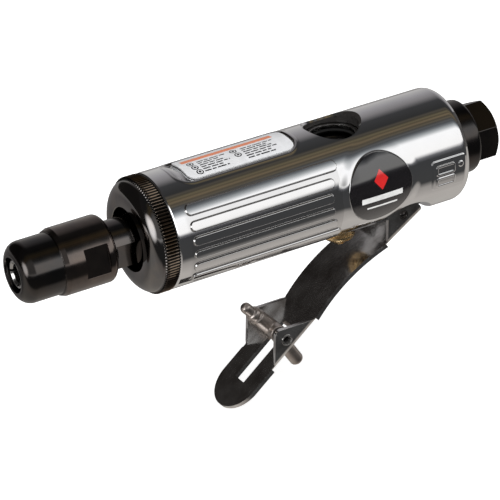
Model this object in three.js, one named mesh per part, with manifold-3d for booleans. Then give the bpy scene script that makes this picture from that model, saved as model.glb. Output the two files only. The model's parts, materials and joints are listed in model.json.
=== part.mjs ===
// A straight pneumatic die grinder: polished barrel with an air motor, collet at the front,
// throttle lever with a lock-off latch underneath, regulator in the top, hose inlet at the rear.
// Millimetres. Stations along X count from the front face of the collet nut, the spindle axis is
// y = z = 0 and the lever hangs towards -Z. The whole group is lifted and centred at the end.
import * as THREE from 'three';
import { mergeVertices } from 'three/addons/utils/BufferGeometryUtils.js';
import Module from 'manifold-3d';

const wasm = await Module();
wasm.setup();

// ---- driving dimensions -------------------------------------------------------------------
const OVERALL_LENGTH = 173.5;
const AXIS_HEIGHT = 69.5;
const GAP = 0.3;
const ROUND = 32;
const SMALL = 16;
const TINY = 8;

const BODY = { radius: 19.2, front: 48.9, rear: 157.3, corner: 3.9, chamfer: 0.5 };
const RIB = { count: 6, pitch: 4.64, width: 2.9, height: 0.7, front: 53.8, arcX: 125.6, arcRadius: 21 };
const LABEL = { front: 56.5, rear: 99.7, halfWidth: 8.2, corner: 5, depth: 0.9, margin: 0.8, thick: 0.5 };
const BADGE = { x: 121.8, tilt: 2, radius: 11.4, bossRadius: 12.6, bossHeight: 0.4, under: 19.3, top: 20.2 };
const PAD = { front: 141.4, rear: 155.4, halfWidth: 6.2, height: 0.3 };

const MOTOR = { boreRadius: 17, boreEnd: 104, front: 62.6, rear: 92.6, outer: 16.7 };
const CHAMBER = { radius: 13.2, offset: 1.4 };
const ROTOR = { radius: 11.4, shaft: 4, journal: 3, end: 33, tail: 103 };
const VANE = { count: 4, thick: 1.5, slot: 2, inner: 5.9, outer: 11.7, slotFloor: 5.2 };
const DOWEL = { radius: 0.9, z: 14.3 };
const FRONT_BEARING = { outer: 11, bore: 4.3, front: 44.9, rear: 51.9, ball: 1.2, pitch: 7.55, balls: 8 };
const REAR_BEARING = { outer: 9.5, bore: 3.3, front: 97.1, rear: 102.9, ball: 1.05, pitch: 6.2, balls: 7 };

const CAP = { face: 40, hole: 10.6, fillet: 6.7, radius: 19.25, ringFront: 44.4, spigot: 16.6, end: 58 };
const EXHAUST = { holes: 5, radius: 1.3, pitch: 13.6 };

const NUT = { front: 10.18, rear: 11.1, mouth: 5.9, nose: 4.3, step: 13.6, end: 31.9, thread: 7.5 };
const NUT_FLAT = { front: 20.5, rear: 28.8, distance: 9.9, height: 10.1, tilt: 6.6 };
const COLLET_BODY = { front: 9, neck: 32.3, rear: 44.3, threadRadius: 7.2, radius: 8 };
const SPINDLE_FLAT = { front: 32.9, rear: 41, distance: 6.2, tilt: -21 };
const COLLET = { front: 1, rear: 24, radius: 4.9, bore: 3.25, slits: 4, slitWidth: 0.7, slitEnd: 15 };

const INLET = { collar: 12.4, collarEnd: 165.5, round: 1.7, flats: 9.45, cornerTurn: 24.2, thread: 5.7 };
const INLET_BORE = { radius: 10, floor: 149.5, seat: 11.8, seatDepth: 2.2 };
const PASSAGE = { radius: 3.6, z: 1.8 };

const VALVE_X = 115.9;
const REGULATOR = { bore: 9.05, floor: 7, radius: 8.7, top: 11.5, slot: 2, slotDepth: 1.5 };
const RING = { low: 13.6, high: 14.6, outer: 9.3, inner: 7.2, groove: 9.7 };
const BUSHING = { radius: 5.4, bore: 3.4, bottom: -22.2, top: -10 };
const PLUNGER = { radius: 3, bottom: -24.8, top: -9.6, groove: 2, grooveLow: -16.2, grooveHigh: -14.6 };
const STEM = { radius: 1.4, bottom: -9.3, neck: -2.3, headRadius: 4.8, top: 0.2 };
const SEAT = { outer: 6.2, inner: 2.6, bottom: -5.6, top: -2.6 };
const SPRING = { mean: 3.4, wire: 0.45, bottom: 0.5, top: 7, turns: 4 };

const PIVOT = { x: 135.2, z: -16.5, radius: 1.5 };
const LEVER = { width: 20, thick: 1.4, ear: 1.5, tipX: 67.6, tipZ: -69.5, bendX: 101.1, bendZ: -43.9 };
const SLOT = { front: 75, rear: 96, halfWidth: 2.7 };
const LATCH = { x: 88.5, z: -47.6, pin: 1.5, hub: 2.85, near: -4.8, far: 6.5 };
const PRONG = { x: 79.7, z: -37.3, tip: 1.85, root: 2.9 };
const TAIL = { x: 96.1, z: -60.7, tip: 2.35 };

// ---- solids ---------------------------------------------------------------------------------
function solid(geometry) {
  const bare = geometry.clone();
  bare.deleteAttribute('normal');
  bare.deleteAttribute('uv');
  const merged = mergeVertices(bare, 1e-4);
  const vertProperties = Float32Array.from(merged.attributes.position.array);
  const triVerts = Uint32Array.from(merged.index.array);
  const used = dropFlatTriangles(triVerts);
  if (signedVolume(vertProperties, used) < 0) {
    flip(used);
  }
  return new wasm.Manifold(new wasm.Mesh({ numProp: 3, vertProperties, triVerts: used }));
}

function dropFlatTriangles(triangles) {
  const kept = [];
  for (let i = 0; i < triangles.length; i += 3) {
    const [a, b, c] = triangles.slice(i, i + 3);
    if (a !== b && b !== c && c !== a) {
      kept.push(a, b, c);
    }
  }
  return Uint32Array.from(kept);
}

function signedVolume(points, triangles) {
  const a = new THREE.Vector3();
  const b = new THREE.Vector3();
  const c = new THREE.Vector3();
  let total = 0;
  for (let i = 0; i < triangles.length; i += 3) {
    a.fromArray(points, triangles[i] * 3);
    b.fromArray(points, triangles[i + 1] * 3);
    c.fromArray(points, triangles[i + 2] * 3);
    total += a.dot(b.cross(c));
  }
  return total;
}

function flip(triangles) {
  for (let i = 0; i < triangles.length; i += 3) {
    [triangles[i + 1], triangles[i + 2]] = [triangles[i + 2], triangles[i + 1]];
  }
}

function toGeometry(body) {
  const mesh = body.getMesh();
  const geometry = new THREE.BufferGeometry();
  geometry.setAttribute('position', new THREE.BufferAttribute(mesh.vertProperties, 3));
  geometry.setIndex(new THREE.BufferAttribute(mesh.triVerts, 1));
  geometry.computeVertexNormals();
  return geometry;
}

// a body turned about the spindle axis from [station, radius] points
function turned(profile, segments = ROUND) {
  const points = profile.map(([x, r]) => new THREE.Vector2(r, x));
  return solid(new THREE.LatheGeometry(points, segments).rotateZ(-Math.PI / 2));
}

// a round bar along the spindle axis
function bar(from, to, radius, segments = ROUND) {
  return turned([[from, 0], [from, radius], [to, radius], [to, 0]], segments);
}

// a closed ring about the spindle axis
function sleeve(from, to, outer, inner, segments = ROUND) {
  return turned([[from, inner], [from, outer], [to, outer], [to, inner], [from, inner]], segments);
}

// a body turned about the valve's vertical axis from [radius, height] points
function turnedUpright(profile, segments = SMALL) {
  const points = profile.map(([r, z]) => new THREE.Vector2(r, z));
  const geometry = new THREE.LatheGeometry(points, segments).rotateX(Math.PI / 2);
  return solid(geometry.translate(VALVE_X, 0, 0));
}

function uprightBar(bottom, top, radius, segments = SMALL) {
  return turnedUpright([[0, bottom], [radius, bottom], [radius, top], [0, top]], segments);
}

function uprightRing(bottom, top, outer, inner, segments = SMALL) {
  const profile = [[inner, bottom], [outer, bottom], [outer, top], [inner, top], [inner, bottom]];
  return turnedUpright(profile, segments);
}

// a round bar between two points, with its own radius at each end
function rod(start, end, radiusStart, radiusEnd, segments = SMALL) {
  const a = new THREE.Vector3(...start);
  const b = new THREE.Vector3(...end);
  const along = b.clone().sub(a);
  const geometry = new THREE.CylinderGeometry(radiusEnd, radiusStart, along.length(), segments);
  const turn = new THREE.Quaternion().setFromUnitVectors(new THREE.Vector3(0, 1, 0), along.normalize());
  geometry.applyQuaternion(turn);
  const middle = a.add(b).multiplyScalar(0.5);
  return solid(geometry.translate(middle.x, middle.y, middle.z));
}

function ball(x, y, z, radius, segments = TINY) {
  return solid(new THREE.SphereGeometry(radius, segments, segments / 2).translate(x, y, z));
}

function block(x0, x1, y0, y1, z0, z1) {
  const geometry = new THREE.BoxGeometry(x1 - x0, y1 - y0, z1 - z0);
  return solid(geometry.translate((x0 + x1) / 2, (y0 + y1) / 2, (z0 + z1) / 2));
}

// a plate standing in the XZ plane, drawn as an outline and given thickness along Y
function sidePlate(shape, yFrom, yTo, curveSegments = 4) {
  const geometry = new THREE.ExtrudeGeometry(shape, { depth: yTo - yFrom, bevelEnabled: false, curveSegments });
  return solid(geometry.rotateX(Math.PI / 2).translate(0, yTo, 0));
}

// a plate lying in the XY plane, given thickness along Z
function flatPlate(shape, bottom, top, curveSegments = 2) {
  const geometry = new THREE.ExtrudeGeometry(shape, { depth: top - bottom, bevelEnabled: false, curveSegments });
  return solid(geometry.translate(0, 0, bottom));
}

function roundedRectangle(x0, x1, y0, y1, corner) {
  const shape = new THREE.Shape();
  shape.absarc(x1 - corner, y1 - corner, corner, 0, Math.PI / 2);
  shape.absarc(x0 + corner, y1 - corner, corner, Math.PI / 2, Math.PI);
  shape.absarc(x0 + corner, y0 + corner, corner, Math.PI, 1.5 * Math.PI);
  shape.absarc(x1 - corner, y0 + corner, corner, 1.5 * Math.PI, 2 * Math.PI);
  shape.closePath();
  return shape;
}

// a round ring of wire or rubber about the spindle axis
function torusAlongX(x, mean, wire) {
  return solid(new THREE.TorusGeometry(mean, wire, 6, SMALL).rotateY(Math.PI / 2).translate(x, 0, 0));
}

function torusUpright(z, mean, wire) {
  return solid(new THREE.TorusGeometry(mean, wire, 6, SMALL).translate(VALVE_X, 0, z));
}

class Helix extends THREE.Curve {
  constructor(radius, length, turns) {
    super();
    this.radius = radius;
    this.length = length;
    this.turns = turns;
  }

  getPoint(t, target = new THREE.Vector3()) {
    const angle = 2 * Math.PI * this.turns * t;
    return target.set(this.radius * Math.cos(angle), this.radius * Math.sin(angle), this.length * t);
  }
}

// a coil of round wire along +Z from the origin
function coil(mean, wire, length, turns) {
  const section = new THREE.Shape().absarc(0, 0, wire, 0, 2 * Math.PI);
  const path = new Helix(mean, length - 2 * wire, turns);
  const options = { steps: Math.round(turns * TINY), curveSegments: 2, extrudePath: path };
  return new THREE.ExtrudeGeometry(section, options).translate(0, 0, wire);
}

function joined(bodies) {
  return bodies.reduce((whole, next) => whole.add(next));
}

function without(body, cutters) {
  return cutters.reduce((rest, cutter) => rest.subtract(cutter), body);
}

// rotation about the spindle axis, in degrees, that carries the -Y side towards +Z
function roll(body, degrees) {
  return body.rotate([-degrees, 0, 0]);
}

// ---- barrel -----------------------------------------------------------------------------------
function arcPoints(cx, cr, radius, fromDegrees, toDegrees, steps = 4) {
  const points = [];
  for (let i = 0; i <= steps; i += 1) {
    const angle = THREE.MathUtils.degToRad(fromDegrees + ((toDegrees - fromDegrees) * i) / steps);
    points.push([cx + radius * Math.cos(angle), cr + radius * Math.sin(angle)]);
  }
  return points;
}

function barrelBlank() {
  const { radius, front, rear, corner, chamfer } = BODY;
  return turned([
    [front, 0],
    [front, radius - chamfer],
    [front + chamfer, radius],
    ...arcPoints(rear - corner, radius - corner, corner, 90, 0),
    [rear, 0],
  ]);
}

// one grip rib on the -Y side at the given height, ending on an arc round the badge
function rib(height) {
  const half = RIB.width / 2;
  const top = BODY.radius + RIB.height;
  const end = RIB.arcX - Math.sqrt(RIB.arcRadius ** 2 - height ** 2);
  const outline = roundedRectangle(RIB.front, end, -half, half, half - 0.01);
  const plate = flatPlate(outline, BODY.radius - 1.5, top, 1).rotate([90, 0, 0]);
  return roll(plate, THREE.MathUtils.radToDeg(Math.asin(height / BODY.radius)));
}

function ribs() {
  const bodies = [];
  for (let i = 0; i < RIB.count; i += 1) {
    const height = RIB.pitch * (i - (RIB.count - 1) / 2);
    const near = rib(height);
    bodies.push(near, near.mirror([0, 1, 0]));
  }
  return bodies;
}

// a round bar square to the barrel at the badge, from deep inside the barrel to well outside it
function badgeBar(radius) {
  const inner = BODY.radius - 8;
  const geometry = new THREE.CylinderGeometry(radius, radius, 2 * inner, ROUND);
  return roll(solid(geometry.translate(BADGE.x, -2 * inner, 0)), BADGE.tilt);
}

function badgeBoss() {
  const shell = bar(BADGE.x - 20, BADGE.x + 20, BODY.radius + BADGE.bossHeight);
  return shell.intersect(badgeBar(BADGE.bossRadius));
}

function badgeRecess() {
  const core = bar(BADGE.x - 20, BADGE.x + 20, BADGE.under - GAP);
  return badgeBar(BADGE.radius + GAP).subtract(core);
}

function raisedPad() {
  const { front, rear, halfWidth, height } = PAD;
  const shell = sleeve(front, rear, BODY.radius + height, BODY.radius - 2);
  return shell.intersect(block(front, rear, -30, 0, -halfWidth, halfWidth));
}

function labelPrism(inset, bottom, top) {
  const { front, rear, halfWidth, corner } = LABEL;
  const half = halfWidth - inset;
  return flatPlate(roundedRectangle(front + inset, rear - inset, -half, half, corner - inset), bottom, top);
}

function labelRecess() {
  const floor = bar(LABEL.front - 1, LABEL.rear + 1, BODY.radius - LABEL.depth);
  return labelPrism(0, 5, 25).subtract(floor);
}

// the two side pockets that take the lever's rear ears, and the relief for its web between them
function leverPockets() {
  const inner = LEVER.width / 2 - LEVER.ear - GAP;
  const centre = { x: 135, z: -22, radius: 11.9 };
  const pocket = (y0, y1) => rod([centre.x, y0, centre.z], [centre.x, y1, centre.z], centre.radius, centre.radius);
  const relief = new THREE.Shape();
  relief.moveTo(136, -25);
  relief.lineTo(146.5, -25);
  relief.lineTo(146.5, -12.6);
  relief.lineTo(136, -19.1);
  relief.closePath();
  return [pocket(-25, -inner), pocket(inner, 25), sidePlate(relief, -inner - 0.1, inner + 0.1)];
}

function motorHousing() {
  const blank = joined([barrelBlank(), ...ribs(), badgeBoss(), raisedPad()]);
  const { radius, floor, seat, seatDepth } = INLET_BORE;
  return without(blank, [
    badgeRecess(),
    labelRecess(),
    ...leverPockets(),
    bar(BODY.front - 1, MOTOR.boreEnd, MOTOR.boreRadius),
    bar(floor, BODY.rear + 1, radius, SMALL),
    bar(BODY.rear - seatDepth, BODY.rear + 1, seat),
    rod([VALVE_X, 0, PASSAGE.z], [floor + 1, 0, PASSAGE.z], PASSAGE.radius, PASSAGE.radius),
    uprightBar(REGULATOR.floor, 25, REGULATOR.bore, ROUND),
    uprightRing(RING.low - 0.2, RING.high + 0.2, RING.groove, 5, ROUND),
    uprightBar(BUSHING.top + GAP, REGULATOR.floor + 1, SEAT.outer + GAP),
    uprightBar(-25, BUSHING.top + GAP + 0.1, BUSHING.radius + GAP),
    rod([111.5, 0, -7.2], [102.8, 0, -14.8], 1.7, 1.7, TINY),
    rod([PIVOT.x, -20, PIVOT.z], [PIVOT.x, 20, PIVOT.z], PIVOT.radius + GAP, PIVOT.radius + GAP),
  ]);
}

function labelPlate() {
  const floor = BODY.radius - LABEL.depth + GAP;
  const shell = sleeve(LABEL.front, LABEL.rear, floor + LABEL.thick, floor);
  return labelPrism(LABEL.margin, 5, 25).intersect(shell);
}

// the badge is a disc that follows the barrel's curve
function badgeDisc() {
  const shell = sleeve(BADGE.x - 20, BADGE.x + 20, BADGE.top, BADGE.under);
  return shell.intersect(badgeBar(BADGE.radius));
}

// ---- front end ----------------------------------------------------------------------------------
function clampCap() {
  const { face, hole, fillet, radius, ringFront, spigot, end } = CAP;
  const centre = face + fillet;
  const cavity = { front: face + 1.8, rear: FRONT_BEARING.front - GAP, radius: 14.8 };
  const seat = FRONT_BEARING.outer + GAP;
  const outer = turned([
    [face, 0],
    [face, radius - fillet],
    ...arcPoints(centre, radius - fillet, fillet, 172, 115, 3),
    [ringFront, radius],
    [BODY.front - GAP, radius],
    [BODY.front - GAP, spigot],
    [end, spigot],
    [end, 0],
  ]);
  const cutters = [
    bar(face - 1, end + 1, hole - 1.4, ROUND),
    bar(face - 1, cavity.front + 0.1, hole),
    bar(cavity.front, cavity.rear, cavity.radius),
    bar(cavity.rear - 0.1, FRONT_BEARING.rear + GAP, seat),
    bar(FRONT_BEARING.rear + GAP - 0.1, end + 1, 15.3),
  ];
  for (let i = 0; i < EXHAUST.holes; i += 1) {
    const angle = (2 * Math.PI * i) / EXHAUST.holes;
    const y = EXHAUST.pitch * Math.cos(angle);
    const z = EXHAUST.pitch * Math.sin(angle);
    cutters.push(rod([cavity.rear - 2, y, z], [end, y, z], EXHAUST.radius, EXHAUST.radius, TINY));
  }
  return without(outer, cutters);
}

function colletNut() {
  const { front, rear, mouth, nose, step, end, thread } = NUT;
  const blank = turned([
    [0, 0],
    ...arcPoints(nose, front - nose, nose, 180, 90),
    [step, front],
    [step + 0.4, front + 0.4],
    [step + 2.4, rear],
    ...arcPoints(end - 2, rear - 2, 2, 90, 0, 2),
    [end, 0],
  ]);
  const { distance, height, tilt } = NUT_FLAT;
  const cut = block(NUT_FLAT.front, NUT_FLAT.rear, -20, -distance, -height / 2, height / 2);
  return without(blank, [
    bar(-1, 9, mouth),
    bar(8, end + 1, thread),
    roll(cut, tilt),
    roll(cut, tilt + 180),
  ]);
}

function colletBody() {
  const { front, neck, rear, threadRadius, radius } = COLLET_BODY;
  const { distance, tilt } = SPINDLE_FLAT;
  const blank = turned([[front, 0], [front, threadRadius], [neck, threadRadius], [neck, radius], [rear, radius], [rear, 0]]);
  const flat = block(SPINDLE_FLAT.front, SPINDLE_FLAT.rear, -20, -distance, -10, 10);
  return without(blank, [
    bar(front - 1, COLLET.rear + GAP, COLLET.radius + GAP, SMALL),
    bar(ROTOR.end - GAP, rear + 1, ROTOR.shaft + GAP, SMALL),
    roll(flat, tilt),
    roll(flat, tilt + 180),
  ]);
}

function collet() {
  const { front, rear, radius, bore, slits, slitWidth, slitEnd } = COLLET;
  const cutters = [bar(front - 1, rear + 1, bore, SMALL)];
  for (let i = 0; i < slits; i += 1) {
    const slit = block(front - 1, slitEnd, -10, 0, -slitWidth / 2, slitWidth / 2);
    cutters.push(roll(slit, (360 / slits) * i));
  }
  return without(bar(front, rear, radius, SMALL), cutters);
}

// ---- air motor ------------------------------------------------------------------------------------
function raceOuter(bearing) {
  return sleeve(bearing.front, bearing.rear, bearing.outer, bearing.pitch + bearing.ball + 0.15, SMALL);
}

function raceInner(bearing) {
  return sleeve(bearing.front, bearing.rear, bearing.pitch - bearing.ball - 0.15, bearing.bore, SMALL);
}

// the balls of one bearing, held together by their cage ring
function ballCage(bearing) {
  const middle = (bearing.front + bearing.rear) / 2;
  const ring = sleeve(middle - 0.6, middle + 0.6, bearing.pitch + 0.5, bearing.pitch - 0.5, SMALL);
  const bodies = [ring];
  for (let i = 0; i < bearing.balls; i += 1) {
    const angle = (2 * Math.PI * i) / bearing.balls;
    const y = bearing.pitch * Math.cos(angle);
    const z = bearing.pitch * Math.sin(angle);
    bodies.push(ball(middle, y, z, bearing.ball, 6));
  }
  return joined(bodies);
}

function dowelHole() {
  const radius = DOWEL.radius + GAP;
  return rod([MOTOR.front - 4, 0, DOWEL.z], [MOTOR.rear + 4.5, 0, DOWEL.z], radius, radius, TINY);
}

function frontEndPlate() {
  const cutters = [bar(50, 70, ROTOR.shaft + GAP, SMALL), dowelHole()];
  for (let i = 0; i < EXHAUST.holes; i += 1) {
    const angle = (2 * Math.PI * (i + 0.5)) / EXHAUST.holes;
    const y = EXHAUST.pitch * Math.cos(angle);
    const z = EXHAUST.pitch * Math.sin(angle);
    cutters.push(rod([50, y, z], [70, y, z], 1.1, 1.1, TINY));
  }
  return without(bar(CAP.end + GAP, MOTOR.front - GAP, MOTOR.outer), cutters);
}

function cylinder() {
  const chamber = bar(MOTOR.front - 1, MOTOR.rear + 1, CHAMBER.radius).translate([0, 0, -CHAMBER.offset]);
  const cutters = [chamber, dowelHole()];
  for (const x of [70, 77.6, 85.2]) {
    cutters.push(rod([x, 0, 0], [x, 20, 0], 1.8, 1.8, TINY));
  }
  return without(bar(MOTOR.front, MOTOR.rear, MOTOR.outer), cutters);
}

function rearEndPlate() {
  const flange = MOTOR.rear + GAP;
  const hub = { radius: 11.6, end: 103.3 };
  const blank = bar(flange, flange + 3.7, MOTOR.outer).add(bar(flange, hub.end, hub.radius, SMALL));
  const cutters = [
    bar(REAR_BEARING.front - 0.2, hub.end + 1, REAR_BEARING.outer + GAP, SMALL),
    bar(flange - 1, hub.end, ROTOR.journal + GAP, SMALL),
    dowelHole(),
  ];
  for (const degrees of [-50, -90, -130]) {
    const angle = THREE.MathUtils.degToRad(degrees);
    const y = 14.1 * Math.cos(angle);
    const z = 14.1 * Math.sin(angle);
    cutters.push(rod([90, y, z], [100, y, z], 1.3, 1.3, TINY));
  }
  return without(blank, cutters);
}

function rotor() {
  const { radius, shaft, journal, end, tail } = ROTOR;
  const front = MOTOR.front + GAP;
  const rear = MOTOR.rear - GAP;
  const body = turned([
    [end, 0], [end, shaft], [front, shaft], [front, radius],
    [rear, radius], [rear, journal], [tail, journal], [tail, 0],
  ]);
  const slot = block(front - 1, rear + 1, -20, -VANE.slotFloor, -VANE.slot / 2, VANE.slot / 2);
  const cutters = [];
  for (let i = 0; i < VANE.count; i += 1) {
    cutters.push(roll(slot, vaneAngle(i)));
  }
  return without(body, cutters);
}

function vaneAngle(i) {
  return (360 / VANE.count) * i + 45;
}

function vane(i) {
  const half = VANE.thick / 2;
  const plate = block(MOTOR.front + GAP, MOTOR.rear - GAP, -VANE.outer, -VANE.inner, -half, half);
  return roll(plate, vaneAngle(i));
}

function cylinderDowel() {
  return rod([MOTOR.front - 3.6, 0, DOWEL.z], [MOTOR.rear + 3.8, 0, DOWEL.z], DOWEL.radius, DOWEL.radius, TINY);
}

function rearGasket() {
  return sleeve(MOTOR.boreEnd - 0.45, MOTOR.boreEnd - 0.1, 11.4, 5, SMALL);
}

// ---- hose inlet ----------------------------------------------------------------------------------
function inletBushing() {
  const { collar, collarEnd, round, flats, cornerTurn, thread } = INLET;
  const corner = flats / Math.cos(Math.PI / 6);
  const hex = new THREE.CylinderGeometry(corner, corner, OVERALL_LENGTH - collarEnd + 2, 6);
  const middle = (OVERALL_LENGTH + collarEnd - 2) / 2;
  const hexBar = roll(solid(hex.rotateZ(-Math.PI / 2).translate(middle, 0, 0)), cornerTurn + 90);
  const chamfer = turned([
    [collarEnd - 5, 0], [collarEnd - 5, corner + 1], [OVERALL_LENGTH - 1.0 - 0.7, corner + 1],
    [OVERALL_LENGTH, flats - 0.05], [OVERALL_LENGTH, 0],
  ]);
  const body = turned([
    [INLET_BORE.floor + GAP, 0],
    [INLET_BORE.floor + GAP, INLET_BORE.radius - GAP],
    [BODY.rear + GAP, INLET_BORE.radius - GAP],
    [BODY.rear + GAP, collar],
    ...arcPoints(collarEnd - round, collar - round, round, 90, 0, 2),
    [collarEnd, 0],
  ]);
  return without(body.add(hexBar.intersect(chamfer)), [
    bar(INLET_BORE.floor + 4, OVERALL_LENGTH + 1, thread, SMALL),
    bar(INLET_BORE.floor - 1, OVERALL_LENGTH, PASSAGE.radius, SMALL),
  ]);
}

function inletScreen() {
  const outer = 3.2;
  const mouth = INLET_BORE.floor - 0.5;
  const cup = rod([mouth - 14, 0, PASSAGE.z], [mouth, 0, PASSAGE.z], outer, outer);
  return cup.subtract(rod([mouth - 13.4, 0, PASSAGE.z], [mouth + 1, 0, PASSAGE.z], outer - 0.6, outer - 0.6));
}

// ---- throttle valve and regulator ----------------------------------------------------------------
function valvePlunger() {
  const { radius, bottom, top, groove, grooveLow, grooveHigh } = PLUNGER;
  return turnedUpright([
    [0, bottom], [1.6, bottom + 0.25], [2.6, bottom + 1], [radius, bottom + 2.2],
    [radius, grooveLow], [groove, grooveLow], [groove, grooveHigh], [radius, grooveHigh],
    [radius, top], [0, top],
  ]);
}

function valveStem() {
  const { radius, bottom, neck, headRadius, top } = STEM;
  return turnedUpright([[0, bottom], [radius, bottom], [radius, neck], [headRadius, neck], [headRadius, top], [0, top]]);
}

function valveSpring() {
  const { mean, wire, bottom, top, turns } = SPRING;
  return solid(coil(mean, wire, top - bottom, turns).translate(VALVE_X, 0, bottom));
}

function regulatorPlug() {
  const { floor, radius, top, slot, slotDepth } = REGULATOR;
  const groove = block(VALVE_X - radius - 1, VALVE_X + radius + 1, -slot / 2, slot / 2, top - slotDepth, top + 1);
  return uprightBar(floor + GAP, top, radius, ROUND).subtract(groove);
}

function retainingRing() {
  const opening = block(VALVE_X - 15, VALVE_X, -1.6, 1.6, RING.low - 1, RING.high + 1);
  return uprightRing(RING.low, RING.high, RING.outer, RING.inner, ROUND).subtract(opening);
}

// ---- lever and latch -----------------------------------------------------------------------------
// the lever's underside, from the rear end through the curved neck to the tip
function leverUnderside() {
  const path = new THREE.CurvePath();
  const heel = new THREE.Vector2(142, -17.9);
  const neck = new THREE.Vector2(128.4, -26.3);
  const bend = new THREE.Vector2(LEVER.bendX, LEVER.bendZ);
  path.add(new THREE.LineCurve(heel, neck));
  path.add(new THREE.CubicBezierCurve(neck, new THREE.Vector2(118.5, -29.6), new THREE.Vector2(109, -34.9), bend));
  path.add(new THREE.LineCurve(bend, new THREE.Vector2(LEVER.tipX, LEVER.tipZ)));
  return path;
}

function leverWeb() {
  const underside = leverUnderside().getPoints(8);
  const upper = underside.map((point, i) => {
    const before = underside[Math.max(i - 1, 0)];
    const after = underside[Math.min(i + 1, underside.length - 1)];
    const along = after.clone().sub(before).normalize();
    return new THREE.Vector2(point.x + along.y * LEVER.thick, point.y - along.x * LEVER.thick);
  });
  const shape = new THREE.Shape([...underside, ...upper.reverse()]);
  return sidePlate(shape, -LEVER.width / 2, LEVER.width / 2);
}

// everything outside the round end of the lever's tab, seen square to the tab
function tabTrim() {
  const half = LEVER.width / 2;
  const slope = Math.atan2(LEVER.bendZ - LEVER.tipZ, LEVER.bendX - LEVER.tipX);
  const corner = flatPlate(roundedRectangle(-half, 3 * half, -half, half, half - 0.01), -5, 5, 5);
  const outside = block(-half - 5, 0, -half - 5, half + 5, -4, 4).subtract(corner);
  const degrees = THREE.MathUtils.radToDeg(slope);
  const reach = { x: half * Math.cos(slope), z: half * Math.sin(slope) };
  return outside.rotate([0, -degrees, 0]).translate([LEVER.tipX + reach.x, 0, LEVER.tipZ + reach.z]);
}

function rearEarOutline() {
  const shape = new THREE.Shape();
  shape.moveTo(128.4, -26.3);
  shape.lineTo(129.5, -14.4);
  shape.quadraticCurveTo(129.8, -12.9, 131.5, -12.9);
  shape.lineTo(137.6, -12.9);
  shape.quadraticCurveTo(142.4, -13.4, 142.4, -17);
  shape.lineTo(142, -17.9);
  shape.closePath();
  return shape;
}

function frontEarOutline() {
  const shape = new THREE.Shape();
  shape.moveTo(LEVER.bendX - 0.3, LEVER.bendZ - 0.2);
  shape.lineTo(100.3, -43.5);
  shape.lineTo(86.4, -43.5);
  shape.quadraticCurveTo(84.5, -43.5, 84.4, -45.6);
  shape.lineTo(83.1, -57.6);
  shape.closePath();
  return shape;
}

function throttleLever() {
  const half = LEVER.width / 2;
  const bodies = [leverWeb()];
  for (const outline of [rearEarOutline(), frontEarOutline()]) {
    bodies.push(sidePlate(outline, -half, -half + LEVER.ear), sidePlate(outline, half - LEVER.ear, half));
  }
  const hole = (at, radius) => rod([at.x, -15, at.z], [at.x, 15, at.z], radius, radius);
  return without(joined(bodies), [
    tabTrim(),
    block(SLOT.front, SLOT.rear, -SLOT.halfWidth, SLOT.halfWidth, -72, -40),
    hole(PIVOT, PIVOT.radius + GAP),
    hole(LATCH, LATCH.pin + GAP),
  ]);
}

function pivotPin() {
  const half = LEVER.width / 2;
  return rod([PIVOT.x, -half, PIVOT.z], [PIVOT.x, half, PIVOT.z], PIVOT.radius, PIVOT.radius);
}

function latchPin() {
  const half = LEVER.width / 2;
  const tube = (radius, length) => rod([LATCH.x, -length, LATCH.z], [LATCH.x, length, LATCH.z], radius, radius);
  return tube(LATCH.pin, half).subtract(tube(0.95, half + 1));
}

function lockLatch() {
  const { x, z, pin, hub, near, far } = LATCH;
  const bore = pin + GAP;
  return joined([
    rod([x, near, z], [x, far, z], hub, hub),
    rod([x, 0, z], [PRONG.x, 0, PRONG.z], PRONG.root, PRONG.tip),
    ball(PRONG.x, 0, PRONG.z, PRONG.tip),
    rod([x, 0, z], [TAIL.x, 0, TAIL.z], TAIL.tip, TAIL.tip),
    ball(TAIL.x, 0, TAIL.z, TAIL.tip),
  ]).subtract(rod([x, -15, z], [x, 15, z], bore, bore));
}

function latchSpring() {
  const length = 2.9;
  const spring = coil(2.4, 0.35, length, 3).rotateX(Math.PI / 2);
  return solid(spring.translate(LATCH.x, LATCH.near - GAP, LATCH.z));
}

// ---- finishes and assembly -------------------------------------------------------------------------
const LOOKS = {
  aluminium: { color: 0xc9cbcd, roughness: 0.16, metalness: 1 },
  blackSteel: { color: 0x1d1c1d, roughness: 0.42, metalness: 0.6 },
  steel: { color: 0x9a9a9c, roughness: 0.3, metalness: 1 },
  chrome: { color: 0xb9bbbd, roughness: 0.08, metalness: 1 },
  nickel: { color: 0x9c8f84, roughness: 0.3, metalness: 1 },
  brass: { color: 0xc79a4e, roughness: 0.3, metalness: 1 },
  rubber: { color: 0x151515, roughness: 0.85, metalness: 0 },
  label: { color: 0xdcdde0, roughness: 0.5, metalness: 0 },
  gloss: { color: 0x0d0c0d, roughness: 0.12, metalness: 0 },
  composite: { color: 0x4a3324, roughness: 0.8, metalness: 0 },
};

const grinder = new THREE.Group();

function addPart(name, body, look) {
  const mesh = new THREE.Mesh(toGeometry(body), new THREE.MeshStandardMaterial(LOOKS[look]));
  mesh.name = name;
  grinder.add(mesh);
}

addPart('motor_housing', motorHousing(), 'aluminium');
addPart('label_plate', labelPlate(), 'label');
addPart('badge_disc', badgeDisc(), 'gloss');
addPart('clamp_cap', clampCap(), 'blackSteel');
addPart('collet_nut', colletNut(), 'blackSteel');
addPart('collet_body', colletBody(), 'blackSteel');
addPart('collet', collet(), 'steel');

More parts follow.
